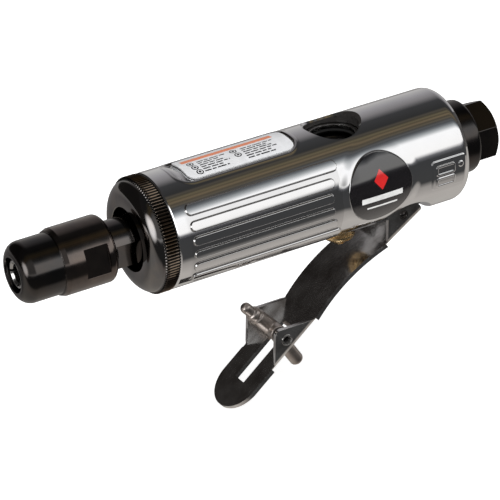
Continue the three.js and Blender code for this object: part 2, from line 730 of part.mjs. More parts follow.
addPart('front_bearing_outer_race', raceOuter(FRONT_BEARING), 'steel');
addPart('front_bearing_inner_race', raceInner(FRONT_BEARING), 'steel');
addPart('front_bearing_balls', ballCage(FRONT_BEARING), 'steel');
addPart('rear_bearing_outer_race', raceOuter(REAR_BEARING), 'steel');
addPart('rear_bearing_inner_race', raceInner(REAR_BEARING), 'steel');
addPart('rear_bearing_balls', ballCage(REAR_BEARING), 'steel');
addPart('front_end_plate', frontEndPlate(), 'steel');
addPart('cylinder', cylinder(), 'steel');
addPart('rear_end_plate', rearEndPlate(), 'steel');
addPart('cylinder_dowel', cylinderDowel(), 'steel');
addPart('rear_gasket', rearGasket(), 'rubber');
addPart('rotor', rotor(), 'steel');
for (let i = 0; i < VANE.count; i += 1) {
  addPart(`vane_${i + 1}`, vane(i), 'composite');
}

addPart('inlet_bushing', inletBushing(), 'blackSteel');
addPart('inlet_oring', torusAlongX(BODY.rear - 1, 10.8, 0.75), 'rubber');
addPart('inlet_screen', inletScreen(), 'steel');

addPart('valve_bushing', uprightRing(BUSHING.bottom, BUSHING.top, BUSHING.radius, BUSHING.bore), 'brass');
addPart('valve_plunger', valvePlunger(), 'brass');
addPart('valve_stem', valveStem(), 'steel');
addPart('plunger_oring', torusUpright((PLUNGER.grooveLow + PLUNGER.grooveHigh) / 2, 2.75, 0.42), 'rubber');
addPart('valve_seat', uprightRing(SEAT.bottom, SEAT.top, SEAT.outer, SEAT.inner), 'brass');
addPart('valve_spring', valveSpring(), 'steel');
addPart('regulator_plug', regulatorPlug(), 'blackSteel');
addPart('regulator_oring', torusUpright(12.5, 8.1, 0.65), 'rubber');
addPart('retaining_ring', retainingRing(), 'steel');

addPart('throttle_lever', throttleLever(), 'chrome');
addPart('lever_pivot_pin', pivotPin(), 'steel');
addPart('lock_latch', lockLatch(), 'nickel');
addPart('latch_pin', latchPin(), 'steel');
addPart('latch_spring', latchSpring(), 'steel');

grinder.position.set(-OVERALL_LENGTH / 2, 0, AXIS_HEIGHT);

export default grinder;
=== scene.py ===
"""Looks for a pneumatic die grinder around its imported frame.

Tool coordinates are millimetres: x runs back from the front face of the collet nut, the spindle
axis is y = z = 0, and z is up. world() turns them into the frame's metres.
"""

import json
import math

import bmesh
import bpy
import numpy as np
from mathutils import Matrix, Vector

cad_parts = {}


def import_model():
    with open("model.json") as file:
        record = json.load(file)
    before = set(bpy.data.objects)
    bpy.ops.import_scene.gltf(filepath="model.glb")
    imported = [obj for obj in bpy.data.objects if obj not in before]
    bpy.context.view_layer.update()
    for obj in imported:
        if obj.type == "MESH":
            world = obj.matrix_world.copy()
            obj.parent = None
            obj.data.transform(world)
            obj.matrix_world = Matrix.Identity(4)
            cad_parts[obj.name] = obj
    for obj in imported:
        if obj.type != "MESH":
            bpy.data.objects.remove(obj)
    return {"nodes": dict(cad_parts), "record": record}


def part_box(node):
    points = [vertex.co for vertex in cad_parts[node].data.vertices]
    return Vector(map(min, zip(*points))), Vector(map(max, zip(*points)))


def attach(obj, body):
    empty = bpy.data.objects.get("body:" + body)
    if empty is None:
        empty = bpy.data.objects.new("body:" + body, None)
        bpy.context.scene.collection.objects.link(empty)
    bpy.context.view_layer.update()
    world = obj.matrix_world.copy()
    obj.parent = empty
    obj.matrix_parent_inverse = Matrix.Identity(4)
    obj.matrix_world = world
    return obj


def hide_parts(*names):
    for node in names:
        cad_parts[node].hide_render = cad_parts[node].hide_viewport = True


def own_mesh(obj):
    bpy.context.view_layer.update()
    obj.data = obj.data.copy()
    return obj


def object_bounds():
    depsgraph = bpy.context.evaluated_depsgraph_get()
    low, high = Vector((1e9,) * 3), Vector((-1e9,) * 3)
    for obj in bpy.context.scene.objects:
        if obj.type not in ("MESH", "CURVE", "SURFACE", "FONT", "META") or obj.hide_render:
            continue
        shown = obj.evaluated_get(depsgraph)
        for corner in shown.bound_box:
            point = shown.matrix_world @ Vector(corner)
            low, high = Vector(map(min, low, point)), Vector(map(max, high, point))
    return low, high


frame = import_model()
cad_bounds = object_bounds()

MM = 0.001
NUT_LOW, NUT_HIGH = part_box("collet_nut")
ORIGIN = np.array([NUT_LOW[0], 0.0, (NUT_LOW[2] + NUT_HIGH[2]) / 2])


def world(points):
    return ORIGIN + np.asarray(points, float) * MM


def tool_box(node):
    """A node's lowest and highest corner in tool coordinates."""
    low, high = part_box(node)
    return (np.array(low) - ORIGIN) / MM, (np.array(high) - ORIGIN) / MM


# ---- driving sizes -------------------------------------------------------------------------------
HOUSING_LOW, HOUSING_HIGH = tool_box("motor_housing")
BARREL = 19.2
BARREL_FRONT = HOUSING_LOW[0]
BARREL_REAR = HOUSING_HIGH[0]
REAR_CORNER = 3.9
RIB = {"count": 6, "pitch": 4.64, "half": 1.45, "height": 0.62, "wall": 0.34, "front": 53.8}
RIB_ARC = {"x": 125.6, "radius": 21.0}
LABEL_LOW, LABEL_HIGH = tool_box("label_plate")
LABEL_MARGIN = 0.8
LABEL_CORNER = 5.0
LABEL_RAMP = 3.4
FILM_FRONT = LABEL_LOW[0] + 3.1
FILM_CORNER = 2.9
LABEL_TOP = BARREL - 0.15
BADGE_LOW, BADGE_HIGH = tool_box("badge_disc")
BADGE_X = (BADGE_LOW[0] + BADGE_HIGH[0]) / 2
BADGE_TILT = math.radians(2)
BADGE_RADIUS = 11.4
BOSS = {"radius": 12.0, "foot": 15.6, "height": 0.4}
PAD = {"front": 141.4, "rear": 154.2, "low": -20.0, "high": 11.0, "height": 0.22}
VALVE_X = float(np.mean([b[0] for b in tool_box("regulator_plug")]))
TOP_BORE = 9.05
PIVOT = np.mean(tool_box("lever_pivot_pin"), axis=0)
LATCH = np.mean(tool_box("latch_pin"), axis=0)
EAR_POCKET = {"x": 135.0, "z": -22.0, "radius": 11.9, "inner": 8.2}

CYLINDER_STEPS = 128


# ---- mesh building -------------------------------------------------------------------------------
def new_object(name, points, faces):
    mesh = bpy.data.meshes.new(name)
    mesh.from_pydata([tuple(p) for p in world(points)], [], faces)
    piece = bpy.data.objects.new(name, mesh)
    bpy.context.scene.collection.objects.link(piece)
    face_outwards(mesh)
    return piece


def solid(name, points, faces):
    """A new object whose faces may be listed in either direction."""
    piece = new_object(name, points, faces)
    repair_normals(piece.data)
    return piece


def band(first, second, count):
    """Faces between two rings of count points that start at these indices."""
    faces = []
    for k in range(count):
        j = (k + 1) % count
        faces.append((first + k, second + k, second + j, first + j))
    return faces


def capped_band(count):
    """Faces of a body made of two outlines with count points each."""
    caps = [tuple(range(count)), tuple(range(2 * count - 1, count - 1, -1))]
    return caps + band(0, count, count)


def face_outwards(mesh):
    edit = bmesh.new()
    edit.from_mesh(mesh)
    if edit.calc_volume(signed=True) < 0:
        bmesh.ops.reverse_faces(edit, faces=edit.faces)
    edit.to_mesh(mesh)
    edit.free()


def arc(cx, cr, radius, start, end, steps):
    """Points on an arc, angles in degrees, from the station axis towards growing radius."""
    angles = np.radians(np.linspace(start, end, steps + 1))
    return [(cx + radius * math.cos(a), cr + radius * math.sin(a)) for a in angles]


def rounded(corners, steps=5):
    """A profile of (station, radius, fillet) corners with each fillet drawn as a curve."""
    points = []
    for i, (s, r, fillet) in enumerate(corners):
        here = np.array([s, r], float)
        if fillet == 0 or i in (0, len(corners) - 1):
            points.append((s, r))
            continue
        before = np.array(corners[i - 1][:2], float) - here
        after = np.array(corners[i + 1][:2], float) - here
        turn = math.acos(np.clip(before @ after / np.linalg.norm(before) / np.linalg.norm(after), -1, 1))
        reach = fillet / math.tan(turn / 2)
        start = here + before / np.linalg.norm(before) * reach
        end = here + after / np.linalg.norm(after) * reach
        middle = before / np.linalg.norm(before) + after / np.linalg.norm(after)
        centre = here + middle / np.linalg.norm(middle) * fillet / math.sin(turn / 2)
        first = math.atan2(*(start - centre)[::-1])
        sweep = math.atan2(*(end - centre)[::-1]) - first
        sweep = (sweep + math.pi) % (2 * math.pi) - math.pi
        for k in range(steps + 1):
            a = first + sweep * k / steps
            points.append((centre[0] + fillet * math.cos(a), centre[1] + fillet * math.sin(a)))
    return points


def turned(name, profile, axis="x", centre=(0, 0, 0), steps=CYLINDER_STEPS, ripple=None):
    """A body turned about an axis from (station, radius) points. A profile that starts on the axis
    ends on it; any other closes on itself. ripple(station, angle) adds to the radius."""
    closed = profile[0][1] > 1e-6
    angles = [2 * math.pi * k / steps for k in range(steps)]
    points = []
    rings = []
    for s, r in profile:
        if r <= 1e-6:
            rings.append([len(points)] * steps)
            points.append(turned_point(s, 0, 0, axis, centre))
            continue
        rings.append(list(range(len(points), len(points) + steps)))
        for a in angles:
            points.append(turned_point(s, r + (ripple(s, a) if ripple else 0), a, axis, centre))
    pairs = list(zip(rings, rings[1:]))
    if closed:
        pairs.append((rings[-1], rings[0]))
    faces = []
    for low, high in pairs:
        for k in range(steps):
            face = [low[k], low[(k + 1) % steps], high[(k + 1) % steps], high[k]]
            face = list(dict.fromkeys(face))
            if len(face) > 2:
                faces.append(face)
    return new_object(name, points, faces)


def turned_point(s, r, a, axis, centre):
    x, y, z = centre
    if axis == "x":
        return (x + s, y - r * math.cos(a), z + r * math.sin(a))
    if axis == "y":
        return (x + r * math.cos(a), y + s, z + r * math.sin(a))
    return (x + r * math.cos(a), y + r * math.sin(a), z + s)


def bar(name, start, end, radius, axis="x", centre=(0, 0, 0), steps=CYLINDER_STEPS, edge=0.0):
    corners = [(start, 0, 0), (start, radius, edge), (end, radius, edge), (end, 0, 0)]
    return turned(name, rounded(corners, 3), axis, centre, steps)


def prism(name, outline, low, high, axis="y"):
    """An outline of (x, z) points given thickness along y, or of (x, y) points along z."""
    points = []
    for level in (low, high):
        points += [(u, level, v) if axis == "y" else (u, v, level) for u, v in outline]
    return solid(name, points, capped_band(len(outline)))


def repair_normals(mesh):
    edit = bmesh.new()
    edit.from_mesh(mesh)
    bmesh.ops.recalc_face_normals(edit, faces=edit.faces)
    edit.to_mesh(mesh)
    edit.free()


def block(name, x0, x1, y0, y1, z0, z1):
    return prism(name, [(x0, z0), (x1, z0), (x1, z1), (x0, z1)], y0, y1)


def swept(name, path, radius, sides=12):
    """A round wire along a list of points, closed at both ends."""
    path = np.asarray(path, float)
    tangents = np.gradient(path, axis=0)
    tangents /= np.linalg.norm(tangents, axis=1)[:, None]
    side = np.cross(tangents[0], [0.3, 0.5, 0.81])
    points = []
    for centre, along in zip(path, tangents):
        side = side - along * (side @ along)
        side /= np.linalg.norm(side)
        up = np.cross(along, side)
        for k in range(sides):
            a = 2 * math.pi * k / sides
            points.append(centre + radius * (math.cos(a) * side + math.sin(a) * up))
    faces = [list(range(sides)), list(range(len(points) - 1, len(points) - sides - 1, -1))]
    for i in range(len(path) - 1):
        faces += band(i * sides, (i + 1) * sides, sides)
    return solid(name, points, faces)


def apply_modifiers(piece):
    graph = bpy.context.evaluated_depsgraph_get()
    mesh = bpy.data.meshes.new_from_object(piece.evaluated_get(graph))
    piece.modifiers.clear()
    piece.data = mesh


def combine(piece, others, operation):
    """Joins, cuts or intersects piece with others, which are used up."""
    for other in others:
        step = piece.modifiers.new(operation, "BOOLEAN")
        step.operation = operation
        step.solver = "MANIFOLD"
        step.object = other
        apply_modifiers(piece)
        bpy.data.objects.remove(other)
    return piece


def cut(piece, others):
    return combine(piece, others, "DIFFERENCE")


def join(piece, others):
    return combine(piece, others, "UNION")


def move(piece, turn, target=(0, 0, 0)):
    """Turns a piece about the tool's origin, then moves that origin to target."""
    place = Matrix.Translation(Vector(world(target)))
    piece.data.transform(place @ turn @ Matrix.Translation(-Vector(ORIGIN)))


def roll(piece, angle):
    """Turns a piece about the spindle axis, by an angle in radians."""
    move(piece, Matrix.Rotation(angle, 4, "X"))


def paint(piece, material, wanted):
    """Gives a second material to each face whose centre passes wanted(x, y, z)."""
    piece.data.materials.append(material)
    for face in piece.data.polygons:
        centre = (np.array(face.center) - ORIGIN) / MM
        if wanted(*centre):
            face.material_index = 1


def soften(piece, width, steps=2, angle=38):
    """Rounds every edge sharper than angle."""
    step = piece.modifiers.new("soften", "BEVEL")
    step.width = width * MM
    step.segments = steps
    step.limit_method = "ANGLE"
    step.angle_limit = math.radians(angle)
    step.use_clamp_overlap = True
    step.miter_outer = "MITER_ARC"
    apply_modifiers(piece)


def merge_flat_faces(piece, distance=0.02):
    """Merges near points and flat neighbouring faces, so that every edge can be rounded fully."""
    edit = bmesh.new()
    edit.from_mesh(piece.data)
    bmesh.ops.remove_doubles(edit, verts=edit.verts, dist=distance * MM)
    bmesh.ops.dissolve_limit(edit, angle_limit=math.radians(0.4), verts=edit.verts, edges=edit.edges)
    edit.to_mesh(piece.data)
    edit.free()


def shade(piece, angle=32):
    mesh = piece.data
    mesh.polygons.foreach_set("use_smooth", [True] * len(mesh.polygons))
    mesh.set_sharp_from_angle(angle=math.radians(angle))


def flatten_shading(piece):
    """Large faces keep their own normals, so that only the small edge rounds look round."""
    step = piece.modifiers.new("flat", "WEIGHTED_NORMAL")
    step.weight = 80
    step.keep_sharp = True
    apply_modifiers(piece)


def fit(piece, material, body, nodes=(), angle=32, flat=False):
    """Gives a finished piece its material and body, and hides the nodes that it stands for."""
    shade(piece, angle)
    if flat:
        flatten_shading(piece)
    piece.data.materials.clear()
    piece.data.materials.append(material)
    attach(piece, body)
    if nodes:
        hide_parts(*nodes)


# ---- materials -----------------------------------------------------------------------------------
class Nodes:
    """Short calls for building one material's node tree."""

    def __init__(self, name):
        self.material = bpy.data.materials.new(name)
        self.material.use_nodes = True
        self.tree = self.material.node_tree
        self.shader = self.tree.nodes["Principled BSDF"]
        self.place = self.tree.nodes.new("ShaderNodeTexCoord").outputs["Object"]

    def link(self, a, b):
        self.tree.links.new(a, b)

    def noise(self, scale, detail, stretch=(1, 1, 1)):
        mapping = self.tree.nodes.new("ShaderNodeMapping")
        mapping.inputs["Scale"].default_value = stretch
        self.link(self.place, mapping.inputs["Vector"])
        node = self.tree.nodes.new("ShaderNodeTexNoise")
        node.inputs["Scale"].default_value = scale
        node.inputs["Detail"].default_value = detail
        node.inputs["Roughness"].default_value = 0.55
        self.link(mapping.outputs["Vector"], node.inputs["Vector"])
        return node.outputs["Fac"]

    def spread(self, value, low, high, start=0.3, end=0.7):
        node = self.tree.nodes.new("ShaderNodeMapRange")
        node.inputs["From Min"].default_value = start
        node.inputs["From Max"].default_value = end
        node.inputs["To Min"].default_value = low
        node.inputs["To Max"].default_value = high
        self.link(value, node.inputs["Value"])
        return node.outputs["Result"]

    def station(self, start, end):
        """0 to 1 between two stations along the tool."""
        split = self.tree.nodes.new("ShaderNodeSeparateXYZ")
        self.link(self.place, split.inputs["Vector"])
        low, high = (ORIGIN[0] + v * MM for v in (start, end))
        return self.spread(split.outputs["X"], 0.0, 1.0, low, high)

    def radius(self, start, end):
        """0 to 1 between two distances from the tool's axis."""
        shift = self.tree.nodes.new("ShaderNodeVectorMath")
        shift.inputs[1].default_value = tuple(-v for v in ORIGIN)
        self.link(self.place, shift.inputs[0])
        flat = self.tree.nodes.new("ShaderNodeVectorMath")
        flat.operation = "MULTIPLY"
        flat.inputs[1].default_value = (0, 1, 1)
        self.link(shift.outputs["Vector"], flat.inputs[0])
        length = self.tree.nodes.new("ShaderNodeVectorMath")
        length.operation = "LENGTH"
        self.link(flat.outputs["Vector"], length.inputs[0])
        return self.spread(length.outputs["Value"], 0.0, 1.0, start * MM, end * MM)

    def attribute(self, name):
        node = self.tree.nodes.new("ShaderNodeAttribute")
        node.attribute_name = name
        return node.outputs["Fac"]

    def add(self, a, b):
        node = self.tree.nodes.new("ShaderNodeMath")
        self.link(a, node.inputs[0])
        self.link(b, node.inputs[1])
        return node.outputs["Value"]

    def ramp(self, value, stops):
        node = self.tree.nodes.new("ShaderNodeValToRGB")
        set_stops(node.color_ramp, stops)
        self.link(value, node.inputs["Fac"])
        return node.outputs["Color"]

    def mix(self, factor, a, b):
        node = self.tree.nodes.new("ShaderNodeMix")
        node.data_type = "RGBA"
        self.feed(node.inputs[0], factor)
        self.feed(node.inputs[6], a)
        self.feed(node.inputs[7], b)
        return node.outputs[2]

    def feed(self, socket, value):
        if isinstance(value, bpy.types.NodeSocket):
            self.link(value, socket)
        elif isinstance(value, tuple) and len(value) == 3:
            socket.default_value = (*value, 1.0)
        else:
            socket.default_value = value

    def bump(self, *layers):
        """Stacks (height, strength, distance in mm) layers."""
        normal = None
        for height, strength, distance in layers:
            node = self.tree.nodes.new("ShaderNodeBump")
            node.inputs["Strength"].default_value = strength
            node.inputs["Distance"].default_value = distance * MM
            self.link(height, node.inputs["Height"])
            if normal:
                self.link(normal, node.inputs["Normal"])
            normal = node.outputs["Normal"]
        self.link(normal, self.shader.inputs["Normal"])

    def edge_wear(self, low, high):
        geometry = self.tree.nodes.new("ShaderNodeNewGeometry")
        return self.spread(geometry.outputs["Pointiness"], 0.0, 1.0, low, high)


def set_stops(ramp, stops):
    while len(ramp.elements) < len(stops):
        ramp.elements.new(0.5)
    for element, (position, color) in zip(ramp.elements, stops):
        element.position = position
        element.color = (*color, 1.0)


# name of the attribute that marks the barrel's creases, where painted shade goes
CREASE_SHADE = "crease_shade"


def aluminium_polished():
    """Buffed die-cast aluminium: a near mirror with faint waves, long polishing lines, and painted
    shade, dull and dark, in the creases round raised shapes."""
    n = Nodes("polished_aluminium")
    cloud = n.noise(70, 3)
    lines = n.noise(900, 2, stretch=(0.06, 1, 1))
    grain = n.noise(5000, 2)
    color = n.ramp(cloud, [(0.3, (0.86, 0.86, 0.87)), (0.7, (0.92, 0.92, 0.93))])
    crease_shade = n.attribute(CREASE_SHADE)
    # painted shade: the crease attribute darkens the aluminium round the rib feet and between the ribs
    n.link(n.mix(crease_shade, color, (0.13, 0.115, 0.1)), n.shader.inputs["Base Color"])
    n.shader.inputs["Metallic"].default_value = 1.0
    streaks = n.spread(lines, 0.035, 0.085)
    n.link(n.add(streaks, n.spread(crease_shade, 0.0, 0.2, 0.0, 1.0)), n.shader.inputs["Roughness"])
    waves = n.noise(45, 1.5, stretch=(0.5, 1, 1))
    n.bump((waves, 0.25, 0.1), (lines, 0.12, 0.01), (grain, 0.05, 0.003))
    return n.material


def black_oxide(name, tint, rough, thin_from=None, knurled=False):
    """Machined steel with a black oxide skin and bright worn edges. From the station thin_from on,
    the skin thins to a warmer, lighter brown. On a knurl, the ring is painted near black as the
    shade between the teeth, and the tooth crests are brown."""
    n = Nodes(name)
    cloud = n.noise(160, 4)
    turning = n.noise(2600, 2, stretch=(1, 0.06, 0.06))
    warm = tuple(c * k for c, k in zip(tint, (1.35, 1.22, 1.12)))
    base = n.ramp(cloud, [(0.35, tint), (0.75, warm)])
    if thin_from is not None:
        thinned = n.ramp(cloud, [(0.35, (0.13, 0.112, 0.104)), (0.75, (0.2, 0.165, 0.145))])
        base = n.mix(n.station(thin_from - 0.3, thin_from + 0.5), base, thinned)
    if knurled:
        # painted shade: the knurled ring is darkened near black, as the shade between its teeth
        base = n.mix(n.radius(18.35, 18.75), base, (0.012, 0.011, 0.01))
        base = n.mix(n.radius(19.0, 19.2), base, (0.22, 0.165, 0.12))
    worn = n.mix(n.edge_wear(0.55, 0.68), base, (0.34, 0.32, 0.3))
    n.link(worn, n.shader.inputs["Base Color"])
    n.shader.inputs["Metallic"].default_value = 1.0
    n.link(n.spread(cloud, *rough), n.shader.inputs["Roughness"])
    n.bump((turning, 0.15, 0.01), (cloud, 0.1, 0.02))
    return n.material


def plated(name, color, dark, rough, scale=260):
    """A plated or plain bright metal with soft clouding, darker patches and fine scratches."""
    n = Nodes(name)
    cloud = n.noise(scale, 4)
    fine = n.noise(scale * 9, 3)
    base = n.ramp(cloud, [(0.3, dark), (0.62, color)])
    n.link(base, n.shader.inputs["Base Color"])
    n.shader.inputs["Metallic"].default_value = 1.0
    n.link(n.spread(fine, *rough), n.shader.inputs["Roughness"])
    n.bump((cloud, 0.12, 0.05), (fine, 0.12, 0.008))
    return n.material


def film(name, color):
    """Printed label film: a flat print under a thin satin coat with a faint orange-peel surface."""
    n = Nodes(name)
    cloud = n.noise(400, 3)
    deeper = tuple(c * 0.9 for c in color)
    n.link(n.ramp(cloud, [(0.3, deeper), (0.7, color)]), n.shader.inputs["Base Color"])
    n.link(n.spread(cloud, 0.36, 0.48), n.shader.inputs["Roughness"])
    n.bump((n.noise(2500, 2), 0.1, 0.008),)
    return n.material


def glossy(name, color):
    """Clear-domed resin over a plain colour."""
    n = Nodes(name)
    cloud = n.noise(300, 2)
    deeper = tuple(c * 0.8 for c in color)
    n.link(n.ramp(cloud, [(0.3, deeper), (0.7, color)]), n.shader.inputs["Base Color"])
    n.link(n.spread(cloud, 0.03, 0.07), n.shader.inputs["Roughness"])
    n.shader.inputs["Coat Weight"].default_value = 1.0
    n.shader.inputs["Coat Roughness"].default_value = 0.02
    n.shader.inputs["Coat IOR"].default_value = 2.1
    n.shader.inputs["Specular IOR Level"].default_value = 0.1
    n.bump((n.noise(120, 1), 0.06, 0.03),)
    return n.material


def matt(name, color, rough=0.8):
    """Rubber, gasket and composite parts, and the painted shade inside bores."""
    n = Nodes(name)
    cloud = n.noise(900, 4)
    lighter = tuple(min(c * 1.6, 1) for c in color)
    n.link(n.ramp(cloud, [(0.35, color), (0.8, lighter)]), n.shader.inputs["Base Color"])
    n.link(n.spread(cloud, rough - 0.1, rough + 0.05), n.shader.inputs["Roughness"])
    n.bump((cloud, 0.3, 0.02),)
    return n.material


ALUMINIUM = aluminium_polished()
OXIDE = black_oxide("black_oxide", (0.07, 0.067, 0.066), (0.14, 0.24))
OXIDE_CAP = black_oxide("black_oxide_cap", (0.19, 0.188, 0.19), (0.06, 0.12), knurled=True)
OXIDE_NUT = black_oxide("black_oxide_nut", (0.08, 0.078, 0.078), (0.09, 0.17), thin_from=13.5)
OXIDE_SPINDLE = black_oxide("black_oxide_spindle", (0.13, 0.125, 0.125), (0.1, 0.18))
STEEL = plated("bright_steel", (0.78, 0.77, 0.76), (0.5, 0.49, 0.48), (0.14, 0.26))
CHROME = plated("bright_chrome", (0.76, 0.76, 0.77), (0.6, 0.6, 0.6), (0.03, 0.09), scale=90)
LEVER_CHROME = plated("lever_chrome", (0.86, 0.85, 0.84), (0.4, 0.37, 0.35), (0.12, 0.24), scale=130)
# painted shade: a dark matt material laid inside bores, where shade falls
BORE_SHADE = matt("bore_painted_shade", (0.035, 0.033, 0.032), 0.36)
NICKEL = plated("warm_nickel", (0.6, 0.54, 0.5), (0.4, 0.35, 0.32), (0.3, 0.42), scale=320)
BRASS = plated("yellow_brass", (0.95, 0.7, 0.38), (0.86, 0.6, 0.3), (0.2, 0.32), scale=300)
RUBBER = matt("black_rubber", (0.012, 0.012, 0.012))
COMPOSITE = matt("vane_composite", (0.16, 0.09, 0.05), 0.7)
LABEL_FILM = film("label_film", (0.8, 0.81, 0.83))
LABEL_ORANGE = film("label_orange", (0.8, 0.26, 0.13))
LABEL_INK = film("label_ink", (0.03, 0.03, 0.032))
BADGE_BLACK = glossy("badge_black", (0.006, 0.005, 0.006))
BADGE_RED = glossy("badge_red", (0.62, 0.02, 0.02))
BADGE_WHITE = glossy("badge_white", (0.75, 0.75, 0.74))

BY_SLOT = {
    "polished_aluminium": ALUMINIUM, "black_oxide": OXIDE, "bright_steel": STEEL,
    "bright_chrome": CHROME, "warm_nickel": NICKEL, "yellow_brass": BRASS,
    "black_rubber": RUBBER, "label_film": LABEL_FILM, "badge_gloss": BADGE_BLACK,
    "vane_composite": COMPOSITE,
}


def dress_cad_nodes():
    """Every node that stays visible takes the detailed material of its slot."""
    for entry in frame["record"]["subparts"]:
        node = frame["nodes"][entry["node"]]
        node.data.materials.clear()
        node.data.materials.append(BY_SLOT[entry["material_slot"]])


# ---- barrel --------------------------------------------------------------------------------------
def smooth(value):
    value = np.clip(value, 0, 1)
    return value * value * (3 - 2 * value)


def pill_distance(x, z, x0, x1, height, half):
    """Distance outside a pill lying along x, negative inside."""
    beyond = np.maximum(np.maximum(x0 - x, x - x1), 0)
    return np.hypot(beyond, z - height) - half


def box_distance(x, y, x0, x1, y0, y1, corner):
    """Distance outside a rounded rectangle, negative inside."""
    dx = np.abs(x - (x0 + x1) / 2) - (x1 - x0) / 2 + corner
    dy = np.abs(y - (y0 + y1) / 2) - (y1 - y0) / 2 + corner
    outside = np.hypot(np.maximum(dx, 0), np.maximum(dy, 0))
    return outside + np.minimum(np.maximum(dx, dy), 0) - corner


def rib_heights():
    middle = (RIB["count"] - 1) / 2
    return [RIB["pitch"] * (i - middle) for i in range(RIB["count"])]


def rib_end(height):
    return RIB_ARC["x"] - math.sqrt(RIB_ARC["radius"] ** 2 - height ** 2)


def relief(x, angle):
    """How far the barrel's surface stands above its plain radius. angle is in radians from -Y
    towards +Z, so both sides of the barrel are covered by -180 to 180 degrees."""
    z = BARREL * np.sin(angle)
    y = -BARREL * np.cos(angle)
    lift = np.zeros(np.broadcast(x, angle).shape)
    half = RIB["half"]
    for height in rib_heights():
        d = pill_distance(x, z, RIB["front"] + half, rib_end(height) - half, height, half)
        lift = lift + RIB["height"] * smooth(0.5 - d / RIB["wall"]) * (np.abs(d) < 3)
    d = box_distance(x, y, LABEL_LOW[0] - LABEL_MARGIN, LABEL_HIGH[0] + LABEL_MARGIN,
                     LABEL_LOW[1] - LABEL_MARGIN, LABEL_HIGH[1] + LABEL_MARGIN, LABEL_CORNER)
    slope = smooth((x - LABEL_LOW[0] + LABEL_MARGIN) / LABEL_RAMP)
    lift = lift - 0.85 * smooth(0.15 - d / 0.75) * slope * (z > 0)
    lift = lift + 0.12 * np.exp(-((d - 0.7) / 0.45) ** 2) * (z > 0)
    across = BARREL * np.sin(angle - BADGE_TILT)
    reach = np.hypot(x - BADGE_X, across) + 100 * (y > 0)
    rise = smooth((BOSS["foot"] - reach) / (BOSS["foot"] - BOSS["radius"]))
    rise = rise * (1 - 0.85 * smooth((across - 4) / 7))
    lift = np.where(rise > 0, np.maximum(lift, BOSS["height"] * rise), lift)
    degrees = np.degrees(angle)
    d = box_distance(x, degrees * BARREL * math.pi / 180, PAD["front"], PAD["rear"],
                     math.radians(PAD["low"]) * BARREL, math.radians(PAD["high"]) * BARREL, 1.2)
    lift = lift + PAD["height"] * smooth(0.5 - d / 0.5) * (y < 0)
    return lift + pad_marks(x, angle * BARREL) * (y < 0)


def pad_marks(x, around):
    """Plain cast marks on the raised pad: two outlined bars and a round dot."""
    marks = np.zeros(np.broadcast(x, around).shape)
    for low, high in ((-1.2, 1.6), (-5.4, -2.6)):
        d = np.abs(box_distance(x, around, 143.2, 149.6, low, high, 0.6)) - 0.35
        marks = marks + 0.25 * smooth(0.5 - d / 0.35)
    d = np.hypot(around - 0.6, x - 152.2) - 0.9
    return marks + 0.25 * smooth(0.5 - d / 0.5)


def spaced(*ranges):
    """Sorted stations from (start, end, step) ranges, with near repeats dropped."""
    values = []
    for start, end, step in ranges:
        count = max(int(round((end - start) / step)), 1)
        values += list(np.linspace(start, end, count + 1))
    return np.array(without_repeats(values, 0.03))


def without_repeats(values, gap):
    """Sorted values, without those that follow another by gap or less."""
    values = sorted(values)
    kept = [values[0]]
    for v in values[1:]:
        if v - kept[-1] > gap:
            kept.append(v)
    return kept


def barrel_stations():
    """(x, plain radius) along the barrel, fine where the surface has detail."""
    front = BARREL_FRONT
    flat_end = BARREL_REAR - REAR_CORNER
    fine = spaced((front + 0.5, 53.6, 1.2), (53.6, 56.0, 0.15), (55.2, 61.5, 0.3), (61.5, 94.5, 2.5),
                  (94.5, 102.4, 0.3), (102.4, 108.2, 0.15), (108.2, 137.4, 0.4), (137.4, 141.0, 0.9),
                  (141.0, 154.6, 0.25), (141.0, flat_end, 0.25))
    fine = fine[fine <= flat_end]
    stations = [(front, BARREL - 0.5), (front + 0.25, BARREL - 0.22), (front + 0.5, BARREL)]
    stations += [(x, BARREL) for x in fine if x > front + 0.52]
    corner = arc(flat_end, BARREL - REAR_CORNER, REAR_CORNER, 90, 0, 14)
    return stations + corner[1:]


def barrel_angles():
    """Angles round the barrel in radians, fine across ribs, label edges, boss and pad."""
    marks = []
    for height in rib_heights():
        for offset in np.linspace(-1.75, 1.75, 25):
            marks.append(math.degrees(math.asin((height + offset) / BARREL)))
    sides = marks + [180 - m for m in marks]
    label = [90 + s * d for s in (-1, 1) for d in np.linspace(17.5, 32, 38)]
    rest = []
    for start, end, count in ((-180, 180, 181), (-60, -38, 34), (-20, 20, 80)):
        rest += list(np.linspace(start, end, count))
    kept = without_repeats([((v + 180) % 360) - 180 for v in sides + label + rest], 0.12)
    if kept[0] + 360 - kept[-1] < 0.12:
        kept.pop()
    return np.radians(np.array(kept))


def surface_point(x, plain, angle):
    radius = plain + relief(x, angle)
    return np.stack([x + 0 * angle, -radius * np.cos(angle), radius * np.sin(angle)], axis=-1)


def barrel_skin():
    stations = barrel_stations()
    angles = barrel_angles()
    count = len(angles)
    points = []
    for x, plain in stations:
        points.append(surface_point(np.full(count, x), plain, angles))
    points = np.concatenate(points)
    faces = []
    for i in range(len(stations) - 1):
        low = i * count
        for k in range(count):
            j = (k + 1) % count
            faces.append((low + k, low + j, low + count + j, low + count + k))
    last = (len(stations) - 1) * count
    faces.append(tuple(range(count)))
    faces.append(tuple(range(last, last + count)))
    return solid("barrel_housing", points, faces)


